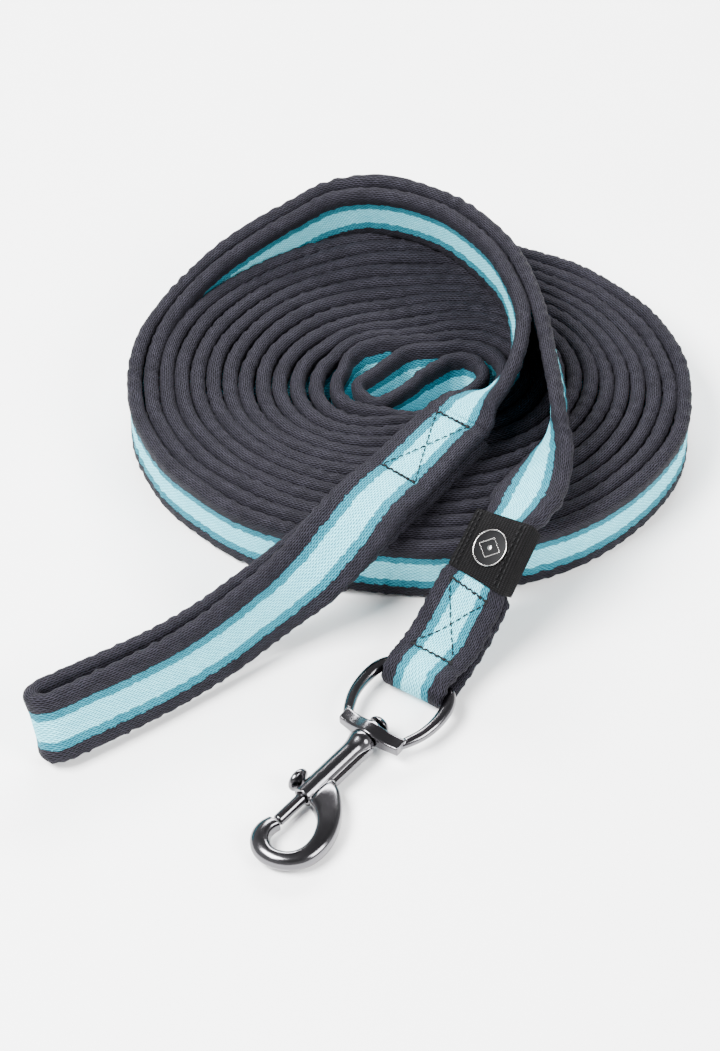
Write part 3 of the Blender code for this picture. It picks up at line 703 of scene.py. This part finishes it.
def skin(rings, closed=False):
    """Points and faces of a skin over rings of equally many points, capped if it isn't closed."""
    rings = [np.asarray(ring) for ring in rings]
    size = len(rings[0])
    faces = []
    for i in range(len(rings) if closed else len(rings) - 1):
        low, high = i * size, (i + 1) % len(rings) * size
        faces += [(low + j, low + (j + 1) % size, high + (j + 1) % size, high + j)
                  for j in range(size)]
    if not closed:
        faces += [tuple(range(size)), tuple(range((len(rings) - 1) * size, len(rings) * size))]
    return np.concatenate(rings), faces


def lathe(profile, segments=64, axis=(1, 0, 0), out=(0, 1, 0), at=(0, 0, 0)):
    """A profile of (along, radius) points turned about an axis, as points and faces."""
    axis, out, at = np.array(axis, float), np.array(out, float), np.array(at, float)
    side = np.cross(axis, out)
    turns = np.linspace(0, 2 * math.pi, segments, endpoint=False)
    rings = [[at + axis * x + max(radius, 0.002) * (out * math.cos(t) + side * math.sin(t))
              for t in turns] for x, radius in profile]
    return skin(rings)


def rounded(profile, steps=4):
    """A profile of (along, radius, corner) points with each corner rounded off."""
    done = []
    for i, (x, radius, corner) in enumerate(profile):
        if not corner:
            done.append((x, radius))
            continue
        here = np.array([x, radius])
        a = here + unit(np.array(profile[i - 1][:2]) - here) * corner
        b = here + unit(np.array(profile[i + 1][:2]) - here) * corner
        for j in range(steps + 1):
            t = j / steps
            done.append(tuple((1 - t) ** 2 * a + 2 * t * (1 - t) * here + t * t * b))
    return done


def oval(width, height, power=2.0, count=24):
    """A superellipse of half sizes width and height."""
    points = []
    for i in range(count):
        turn = 2 * math.pi * i / count
        c, s = math.cos(turn), math.sin(turn)
        points.append((width * math.copysign(abs(c) ** (2 / power), c),
                       height * math.copysign(abs(s) ** (2 / power), s)))
    return points


def smooth_rows(rows, count):
    """Rows of numbers interpolated by a smooth curve to count rows."""
    rows = np.array(rows, float)
    padded = np.vstack([2 * rows[0] - rows[1], rows, 2 * rows[-1] - rows[-2]])
    made = []
    for place in np.linspace(0, len(rows) - 1, count):
        i = min(int(place), len(rows) - 2)
        made.append(catmull(padded, i + 1, place - i))
    return np.array(made)


def tube(points, radius, sides=10, closed=False):
    """A round tube through points, with radius a number or one for each point."""
    points = np.asarray(points, float)
    radii = np.broadcast_to(radius, len(points))
    if closed:
        ahead = np.roll(points, -1, 0) - np.roll(points, 1, 0)
    else:
        ahead = np.gradient(points, axis=0)
    ahead = unit(ahead)
    side = np.cross(ahead[0], (0.31, 0.57, 0.76))
    turns = [2 * math.pi * i / sides for i in range(sides)]
    rings = []
    for point, direction, r in zip(points, ahead, radii):
        side = unit(side - direction * np.dot(side, direction))
        other = np.cross(direction, side)
        rings.append([point + r * (side * math.cos(t) + other * math.sin(t)) for t in turns])
    return skin(rings, closed)


def joined(shapes):
    """Several (points, faces) shapes as one."""
    verts, faces, base = [], [], 0
    for points, polygons in shapes:
        verts.append(np.asarray(points, float))
        faces += [tuple(base + k for k in polygon) for polygon in polygons]
        base += len(points)
    return np.concatenate(verts), faces


def cast(name, shapes, matrix):
    """Overlapping closed shapes in local millimetres fused into one smooth casting."""
    item = from_arrays(name, *joined(shapes))
    remesh = item.modifiers.new("fuse", 'REMESH')
    remesh.mode = 'VOXEL'
    remesh.voxel_size = 0.22
    remesh.adaptivity = 0.0
    remesh.use_smooth_shade = True
    relax = item.modifiers.new("relax", 'SMOOTH')
    relax.factor = 0.5
    relax.iterations = 4
    deps = bpy.context.evaluated_depsgraph_get()
    mesh = bpy.data.meshes.new_from_object(item.evaluated_get(deps))
    item.modifiers.clear()
    item.data = mesh
    mesh.name = name
    mesh.transform(matrix @ Matrix.Scale(MM, 4))
    mesh.shade_smooth()
    return item


def local_piece(name, shape, matrix):
    """A shape in local millimetres, as it is."""
    item = from_arrays(name, *shape)
    item.data.transform(matrix @ Matrix.Scale(MM, 4))
    return item


def route_piece(name, shape):
    """A shape in the routes' millimetres."""
    points, faces = shape
    return from_arrays(name, metres(points), faces)


def finish_piece(item, material, body, slot, *nodes):
    item.data.materials.clear()
    item.data.materials.append(material)
    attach(item, body)
    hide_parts(*nodes)


def axes_at(origin, ahead):
    """A frame whose x points ahead and whose y lies flat."""
    x = Vector(ahead).normalized()
    y = Vector((0, 0, 1)).cross(x).normalized()
    z = x.cross(y)
    matrix = Matrix((x, y, z)).transposed().to_4x4()
    matrix.translation = Vector(origin)
    return matrix


# -------------------- hard materials

def metal_material(name, base, roughness):
    """Polished plating with faint swirls and slightly duller patches."""
    n = Nodes(name)
    place = n.place()
    patch = n.noise(place, 90.0, 3.0)
    fine = n.noise(place, 900.0, 3.0)
    dark = colour(*(c * 0.8 for c in base[:3]))
    return n.surface(Base_Color=n.blend(patch, dark, base), Metallic=1.0,
                     Roughness=patch * 0.08 + (roughness - 0.03) + fine * 0.03,
                     Normal=n.bump(patch + fine * 0.1, 0.00002, 0.35))


def thread_material():
    """Black twisted sewing thread."""
    n = Nodes("sewing_thread")
    fibre = n.noise(n.place(), 3200.0)
    shade = n.blend(fibre, colour(0.0008, 0.0008, 0.001), colour(0.008, 0.008, 0.009))
    return n.surface(Base_Color=shade, Roughness=0.55, Normal=n.bump(fibre, 0.0001, 0.6),
                     Specular_IOR_Level=0.15)


def label_material():
    """Black ribbed ribbon, woven across its ribs."""
    n = Nodes("label_ribbon")
    along, around = n.uv("weave")
    x = (along / 0.5).fraction()
    y = (around / RIB_PITCH).fraction()
    fuzz = n.noise(n.join(along * 5.0, around * 5.0), 1.0, 3.0)
    height = (1.0 - x * x * 4.0) * (1.0 - y * y * 4.0) * 0.8 + fuzz
    # colour by height: the ribs' tops are painted highlight and the grooves between them painted
    # shade, with random fuzz
    shade = n.blend(n.step(height, 0.6, 1.4), colour(0.0002, 0.0002, 0.0002),
                    colour(0.0105, 0.0100, 0.0110))
    return n.surface(Base_Color=shade, Roughness=0.75, Normal=n.bump(height, 0.0003, 1.0),
                     Specular_IOR_Level=0.08)


def enamel_material():
    """Gloss black enamel with faint specks."""
    n = Nodes("emblem_enamel")
    speck = n.noise(n.place(), 1500.0)
    shade = n.blend(speck, colour(0.001, 0.001, 0.0012), colour(0.004, 0.004, 0.005))
    return n.surface(Base_Color=shade, Roughness=speck * 0.12 + 0.42, Specular_IOR_Level=0.08)


# -------------------- stitching and label

def route_frame(frames, distance):
    """Centre, across and normal at a distance along a route."""
    centre, across, normal = (read_at(distance, frames[3], part) for part in frames[:3])
    return centre, unit(across), unit(normal)


def stitch(start, end, up, radius, twist):
    """One thread stitch from hole to hole: it dives into the cloth at both ends."""
    start, end, up = np.array(start), np.array(end), np.array(up)
    side = unit(np.cross(end - start, up))
    points, radii = [], []
    for i in range(7):
        t = i / 6
        arch = math.sin(math.pi * t)
        points.append(start + (end - start) * t + up * (0.35 * arch - 0.3 * (1 - arch) ** 3)
                      + side * twist * math.sin(2 * math.pi * t))
        radii.append(radius * (0.6 + 0.4 * arch))
    return tube(points, radii, 7)


def stitch_row(surface, start, end, pitch, radius, rng, twist=0.0, overlap=0.0):
    """Stitches along a straight seam; surface(distance, offset) gives a point and its up."""
    start, end = np.array(start, float), np.array(end, float)
    count = max(1, int(round(np.linalg.norm(end - start) / pitch)))
    shapes = []
    for i in range(count):
        low = start + (end - start) * ((i - overlap + rng.uniform(0.0, 0.05)) / count)
        high = start + (end - start) * ((i + 0.86 + overlap - rng.uniform(0.0, 0.05)) / count)
        a, up = surface(*low)
        b, _ = surface(*high)
        shapes.append(stitch(a, b, up, radius, twist))
    return shapes


def make_box_stitch(name, node, rows, step, span, apart, sizes, width, material):
    """The sewn box: heavy rows across at both ends and a light cross between them."""
    frames = route_frames(rows, step)

    def surface(distance, offset):
        centre, across, normal = route_frame(frames, distance)
        half = half_thickness(offset, *sizes) * pinch(distance, span)
        height = apart(frames[3][-1] - distance) / 2 + half
        return centre + across * offset + normal * (height + 0.12), normal

    rng = random.Random(len(name))
    near, far = span
    half = width / 2
    shapes = []
    for distance in (near, far):
        shapes += stitch_row(surface, (distance, -half), (distance, half), 2.3, 0.36, rng, 0.25,
                             0.1)
        shapes += stitch_row(surface, (distance + 0.35, half), (distance - 0.2, -half), 2.7,
                             0.3, rng, -0.25, 0.1)
    for side in (-1, 1):
        shapes += stitch_row(surface, (near, -side * half), (far, side * half), 2.9, 0.23, rng)
    finish_piece(route_piece(name, joined(shapes)), material, "webbing", "thread", node)


def sleeve_outline(width, thickness, corner, count):
    """Evenly spaced (u, v) points round a rectangle with rounded corners."""
    fine = []
    for x_side, y_side, start in ((1, 1, 0), (-1, 1, 90), (-1, -1, 180), (1, -1, 270)):
        for degrees in range(start, start + 91, 5):
            turn = math.radians(degrees)
            fine.append((x_side * (width / 2 - corner) + corner * math.cos(turn),
                         y_side * (thickness / 2 - corner) + corner * math.sin(turn)))
    fine = np.array(fine + fine[:1])
    around = distances(fine)
    wanted = np.linspace(0, around[-1], count + 1)
    points = read_at(wanted, around, fine)
    ahead = np.gradient(points, axis=0)
    outward = unit(np.stack([ahead[:, 1], -ahead[:, 0]], axis=1))
    return points[:-1], outward[:-1], wanted[:-1]


def make_label(ribbon, thread):
    frames = route_frames(SNAP_END, LABEL_STEP)
    near, far = LABEL_SPAN
    along = np.linspace(near, far, 41)
    inner = 2 * (END_THICKNESS - LABEL_PRESS) + GAP + LABEL_ROOM
    outer = inner + 2 * LABEL_WALL
    width = WEB_WIDTH - LABEL_DRAW + LABEL_ROOM
    count = 288
    outline, outward, around = sleeve_outline(width + 2 * LABEL_WALL, outer, 2.2, count)
    ribs = 0.13 * np.cos(around * 2 * math.pi / RIB_PITCH)
    inside, _, _ = sleeve_outline(width, inner, 1.4, count)

    def ring(distance, shape):
        centre, across, normal = route_frame(frames, distance)
        return centre + np.outer(shape[:, 0], across) + np.outer(shape[:, 1], normal)

    rings = []
    for distance in along:
        hem = 1 - 0.5 * math.exp(-min(distance - near, far - distance) / 0.5)
        rings.append(ring(distance, outline + outward * (ribs * hem)[:, None]))
    rings += [ring(distance, inside) for distance in along[::-1]]
    item = route_piece("label_ribbon_sleeve", skin(rings, closed=True))
    index = np.empty(len(item.data.loops), int)
    item.data.loops.foreach_get("vertex_index", index)
    s = np.concatenate([along, along[::-1]])[index // count]
    uv = np.stack([s, around[index % count]], axis=1).astype(np.float32)
    item.data.uv_layers.new(name="weave").data.foreach_set("uv", uv.ravel())
    finish_piece(item, ribbon, "webbing", "label", "label_sleeve")

    def surface(distance, offset):
        centre, across, normal = route_frame(frames, distance)
        return centre + across * offset + normal * (outer / 2 + 0.1), normal

    rng = random.Random(9)
    for side, sign in (("left", -1), ("right", 1)):
        shapes = []
        for offset in (9.4, 7.9):
            shapes += stitch_row(surface, (near + 0.8, sign * offset), (far - 0.8, sign * offset),
                                 1.9, 0.22, rng)
        finish_piece(route_piece(f"label_stitching_{side}", joined(shapes)), thread, "webbing",
                     "thread", f"label_seam_{side}_outer", f"label_seam_{side}_inner")


def make_emblem(enamel, metal):
    """The round badge on the label: enamel plate, thin polished ring, plain lozenge and dot."""
    frames = route_frames(SNAP_END, LABEL_STEP)
    centre, across, normal = route_frame(frames, sum(LABEL_SPAN) / 2)
    height = END_THICKNESS - LABEL_PRESS + (GAP + LABEL_ROOM) / 2 + LABEL_WALL
    z, y = Vector(normal).normalized(), Vector(across).normalized()
    matrix = Matrix((y.cross(z), y, z)).transposed().to_4x4()
    matrix.translation = metres(centre + across * EMBLEM_ASIDE + normal * (height + 0.45))
    upright = ((0, 0, 1), (1, 0, 0))
    radius = EMBLEM_RADIUS
    plate = rounded([(-0.4, 0.0, 0), (-0.4, radius - 0.4, 0.1), (0.05, radius - 0.4, 0.15),
                     (0.2, 2.0, 0.4), (0.22, 0.0, 0)])
    plate = local_piece("emblem_enamel", lathe(plate, 96, *upright), matrix)
    finish_piece(plate, enamel, "webbing", "emblem_black", "emblem_plate")
    turns = np.linspace(0, 2 * math.pi, 96, endpoint=False)
    ring = tube([(math.cos(t) * (radius - 0.24), math.sin(t) * (radius - 0.24), 0.15)
                 for t in turns], 0.22, 12, True)
    finish_piece(local_piece("emblem_ring", ring, matrix), metal, "webbing", "emblem_metal",
                 "emblem_rim")
    corners = [(3.4, 0), (0, 4.2), (-3.4, 0), (0, -4.2)]
    line = []
    for (ax, ay), (bx, by) in zip(corners, corners[1:] + corners[:1]):
        line += [(mix(ax, bx, i / 12), mix(ay, by, i / 12), 0.3) for i in range(12)]
    dot = rounded([(0.0, 0.0, 0), (0.0, 0.95, 0.1), (0.45, 0.8, 0.2), (0.5, 0.0, 0)])
    shapes = [tube(line, 0.2, 10, True), lathe(dot, 32, *upright)]
    finish_piece(local_piece("emblem_lozenge", joined(shapes), matrix), metal, "webbing",
                 "emblem_metal", "emblem_motif")


# -------------------- the snap

EYE_FRAME = axes_at(JOINTS["eye_swing"]["pos_m"],
                    Vector(JOINTS["hook_swivel"]["pos_m"]) - Vector(JOINTS["eye_swing"]["pos_m"]))
HOOK_FRAME = axes_at(JOINTS["hook_swivel"]["pos_m"], JOINTS["hook_swivel"]["axis"])
CROSS_BAR = 26.4  # eye bar to cross-bar
BLADE = [  # outer x, y, inner x, y, half thickness, fullness
    (21.2, 3.4, 22.8, 2.8, 1.6, 3.0),
    (21.9, 5.6, 26.0, 2.8, 2.3, 3.4),
    (23.2, 8.0, 29.6, 2.9, 2.8, 3.6),
    (25.6, 11.0, 32.0, 3.6, 3.0, 3.6),
    (29.2, 14.2, 33.0, 6.0, 3.1, 3.6),
    (33.8, 16.9, 34.6, 8.6, 3.2, 3.4),
    (38.2, 18.4, 37.2, 10.9, 3.2, 3.2),
    (43.2, 18.9, 41.0, 12.6, 3.2, 2.9),
    (48.2, 17.9, 44.8, 12.9, 3.1, 2.6),
    (52.2, 15.2, 48.0, 11.7, 3.0, 2.4),
    (54.9, 11.6, 50.0, 9.4, 3.0, 2.3),
    (56.3, 7.2, 50.8, 6.4, 3.0, 2.2),
    (56.1, 3.0, 49.8, 3.8, 3.0, 2.2),
    (54.2, -0.6, 47.8, 2.2, 3.0, 2.2),
    (51.0, -3.0, 45.9, 1.9, 2.9, 2.3),
    (47.2, -3.7, 44.4, 2.2, 2.7, 2.4),
    (43.6, -2.9, 43.6, 2.5, 2.5, 2.4),
]
EYE_ARM = [  # x, y, half width in the eye's plane, half thickness
    (0.0, 9.0, 1.8, 1.8),
    (0.1, 10.9, 1.9, 1.8),
    (1.8, 12.5, 2.1, 1.9),
    (5.2, 13.9, 2.15, 1.9),
    (9.2, 14.4, 2.1, 1.85),
    (13.4, 14.3, 2.0, 1.8),
    (17.6, 13.5, 1.9, 1.7),
    (21.2, 12.1, 1.8, 1.6),
    (24.0, 10.6, 1.7, 1.5),
    (26.0, 9.2, 1.6, 1.4),
]


def blade_shape():
    rows = smooth_rows(BLADE, 110)
    rings = []
    for outer_x, outer_y, inner_x, inner_y, half, power in rows:
        outer, inner = np.array([outer_x, outer_y]), np.array([inner_x, inner_y])
        middle, reach = (outer + inner) / 2, (outer - inner) / 2
        ring = []
        for a, b in oval(1.0, half, power, 36):
            # fuller towards the inner edge, drawn thin at the outer rim
            ring.append((*(middle + reach * a), b * (1 - 0.16 * a)))
        rings.append(ring)
    return skin(rings)


def box_shape(low, high):
    corners = [(x, y, z) for x in (low[0], high[0]) for y in (low[1], high[1])
               for z in (low[2], high[2])]
    faces = [(0, 1, 3, 2), (4, 6, 7, 5), (0, 4, 5, 1), (2, 3, 7, 6), (0, 2, 6, 4), (1, 5, 7, 3)]
    return np.array(corners), faces


def cut(shape, cutter):
    """A shape with another cut out of it."""
    item, tool = from_arrays("cut_source", *shape), from_arrays("cutter", *cutter)
    modifier = item.modifiers.new("cut", 'BOOLEAN')
    modifier.operation = 'DIFFERENCE'
    modifier.object = tool
    deps = bpy.context.evaluated_depsgraph_get()
    mesh = item.evaluated_get(deps).to_mesh()
    points = np.array([tuple(v.co) for v in mesh.vertices])
    faces = [tuple(polygon.vertices) for polygon in mesh.polygons]
    for made in (item, tool):
        bpy.data.objects.remove(made, do_unlink=True)
    return points, faces


def make_hook(metal):
    """Barrel, collar, web and blade fused into one polished casting."""
    barrel = rounded([(3.05, 0.0, 0), (3.05, 4.1, 0.35), (5.0, 4.5, 0.9), (8.4, 3.4, 1.6),
                      (31.5, 3.4, 0.3), (31.5, 2.3, 0.15), (7.1, 2.3, 0.3), (7.1, 0.0, 0)])
    barrel = cut(lathe(barrel), box_shape((16.3, -9.0, -1.5), (29.4, -0.5, 1.5)))
    shapes = [barrel, blade_shape(), box_shape((4.6, 2.7, -1.25), (22.5, 4.9, 1.25))]
    hook = cast("hook_casting", shapes, HOOK_FRAME)
    finish_piece(hook, metal, "hook", "gunmetal", "hook_body")


def make_eye(metal):
    """Strap bar, tapering bowed arms, cross-bar with bevelled ends and the pin's boss."""
    arm = smooth_rows(EYE_ARM, 60)
    path = np.vstack([arm[::-1], arm * np.array([1, -1, 1, 1])])
    ahead = unit(np.gradient(path[:, :2], axis=0))
    wire = skin([[(x - ay * a, y + ax * a, b) for a, b in oval(width, height, 2.2, 24)]
                 for (x, y, width, height), (ax, ay) in zip(path, ahead)])
    rings = []
    for i in range(41):
        t = i / 20 - 1
        x = CROSS_BAR + 0.5 - 1.3 * abs(t) ** 1.5
        rise = 3.2 * math.exp(-(t * 2.2) ** 2)
        z = 0.1 + 0.3 * rise
        rings.append([(x + a, t * 11.2, z + b) for a, b in oval(2.5, 1.9 + 0.35 * rise, 7.0, 28)])
    bar = skin(rings)
    boss = rounded([(CROSS_BAR - 2.4, 2.0, 0), (CROSS_BAR - 2.4, 3.9, 0.5),
                    (CROSS_BAR + 2.75, 3.9, 0.3), (CROSS_BAR + 2.7, 2.0, 0)])
    boss = lathe(boss + boss[:1])
    hole = lathe([(CROSS_BAR - 6.0, 0.0), (CROSS_BAR - 6.0, 2.0), (CROSS_BAR + 6.0, 2.0),
                  (CROSS_BAR + 6.0, 0.0)], 32)
    eye = cast("eye_casting", [wire, cut(bar, hole), boss], EYE_FRAME)
    finish_piece(eye, metal, "eye", "gunmetal", "swivel_eye")


def make_pin(metal):
    dome = [(-3.6 - 2.4 * math.cos(math.radians(a)), 3.5 * math.sin(math.radians(a)))
            for a in range(0, 86, 6)]
    profile = dome + [(-3.68, 3.48), (-3.6, 3.3), (-3.6, 1.4), (6.2, 1.4), (6.2, 0.0)]
    pin = local_piece("swivel_rivet", lathe(profile), HOOK_FRAME)
    finish_piece(pin, metal, "hook", "gunmetal", "swivel_pin")


def make_bolt(metal, steel):
    """The sliding bolt with its thumb knob, and the spring behind it in the barrel."""
    bolt = rounded([(20.5, 0.0, 0), (20.5, 1.9, 0.3), (30.2, 1.9, 0), (42.6, 1.9, 0.55),
                    (42.6, 0.0, 0)])
    bolt = local_piece("sliding_bolt", lathe(bolt), HOOK_FRAME)
    finish_piece(bolt, metal, "bolt", "gunmetal", "latch_bolt")
    knob = rounded([(1.2, 0.0, 0), (1.2, 1.2, 0.1), (3.3, 1.2, 0.4), (4.2, 2.4, 0.5),
                    (4.8, 3.75, 0.25), (5.7, 3.95, 0.4), (6.6, 3.4, 0.6), (7.1, 1.6, 0.7),
                    (7.25, 0.0, 0)])
    knob = lathe(knob, 64, (0, -1, 0), (1, 0, 0), (27.5, 0, 0))
    finish_piece(local_piece("thumb_button", knob, HOOK_FRAME), metal, "bolt", "gunmetal",
                 "thumb_knob")
    start, end, turns = 8.0, 19.9, 7
    angles = [2 * math.pi * i / 36 for i in range(turns * 36 + 1)]
    helix = [(mix(start, end, angle / angles[-1]), 1.55 * math.cos(angle), 1.55 * math.sin(angle))
             for angle in angles]
    spring = local_piece("return_spring", tube(helix, 0.28, 10), HOOK_FRAME)
    spring.data.materials.append(steel)
    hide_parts("bolt_spring")
    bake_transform(spring)


# -------------------- stage

def make_camera():
    data = bpy.data.cameras.new("camera")
    camera = linked("camera", data)
    camera.location = (0.0105, -0.5833, 0.6364)
    camera.rotation_euler = (math.radians(45), 0, 0)
    data.lens = 87.86
    data.sensor_width = 36.0
    data.shift_x = -0.0457
    data.shift_y = -0.0937
    data.clip_start = 0.01
    bpy.context.scene.camera = camera


def make_floor():
    bpy.ops.mesh.primitive_plane_add(size=6.0, location=(0, 0, -0.0002))
    floor = bpy.context.object
    floor.name = "floor"
    n = Nodes("floor")
    shade = n.blend(n.noise(n.place(), 30.0), colour(0.93, 0.93, 0.93), colour(0.96, 0.96, 0.96))
    floor.data.materials.append(n.surface(Base_Color=shade, Roughness=0.9))


def area_light(name, location, size, power):
    """A light aimed at the coil."""
    data = bpy.data.lights.new(name, 'AREA')
    data.shape = 'RECTANGLE'
    data.size, data.size_y = size
    data.energy = power
    light = linked(name, data)
    light.location = location
    light.rotation_euler = (-Vector(location)).to_track_quat('-Z', 'Y').to_euler()


def make_lights():
    world = bpy.data.worlds.new("studio")
    bpy.context.scene.world = world
    world.use_nodes = True
    tree = world.node_tree
    place = tree.nodes.new("ShaderNodeTexCoord")
    split = tree.nodes.new("ShaderNodeSeparateXYZ")
    ramp = tree.nodes.new("ShaderNodeValToRGB")
    low, high = ramp.color_ramp.elements
    low.position, low.color = 0.05, (1.25, 1.25, 1.25, 1.0)
    high.position, high.color = 0.75, (0.22, 0.22, 0.23, 1.0)
    background = tree.nodes["Background"]
    tree.links.new(place.outputs["Generated"], split.inputs["Vector"])
    tree.links.new(split.outputs["Z"], ramp.inputs["Fac"])
    tree.links.new(ramp.outputs["Color"], background.inputs["Color"])
    background.inputs["Strength"].default_value = 1.0
    area_light("key", (-0.55, -0.25, 0.95), (0.6, 0.45), 62.0)
    area_light("fill", (0.75, -0.45, 0.7), (0.5, 0.5), 22.0)
    area_light("back", (0.1, 0.9, 0.7), (0.9, 0.25), 32.0)


# -------------------- build

make_camera()
make_lights()
make_floor()
WEBBING = webbing_material()
make_lead("lead_to_snap", "webbing_lead_snap", SNAP_LEAD, 3, WEBBING, LABEL_DRAW + 3 * GAP)
make_lead("lead_to_loop", "webbing_lead_hand", HAND_LEAD, 5, WEBBING)
make_coil(WEBBING)
make_hand_loop(WEBBING)
make_snap_end(WEBBING)
THREAD = thread_material()
GUNMETAL = metal_material("polished_gunmetal", colour(0.125, 0.122, 0.130), 0.15)
SPRING = metal_material("spring_wire", colour(0.50, 0.50, 0.51), 0.3)
SILVER = metal_material("emblem_silver", colour(0.42, 0.41, 0.40), 0.2)
make_box_stitch("box_stitch_hand", "hand_box_stitch", HAND_LOOP, STEP, HAND_BOX, LOOP_SPREAD,
                (WEB_WIDTH, WEB_THICKNESS, MIDDLE_THICKNESS), 13.4, THREAD)
make_box_stitch("box_stitch_snap", "snap_box_stitch", SNAP_END, END_STEP, SNAP_BOX, end_spread,
                (WEB_WIDTH, END_THICKNESS, END_MIDDLE), 16.0, THREAD)
make_label(label_material(), THREAD)
make_emblem(enamel_material(), SILVER)
make_hook(GUNMETAL)
make_eye(GUNMETAL)
make_pin(GUNMETAL)
make_bolt(GUNMETAL, SPRING)
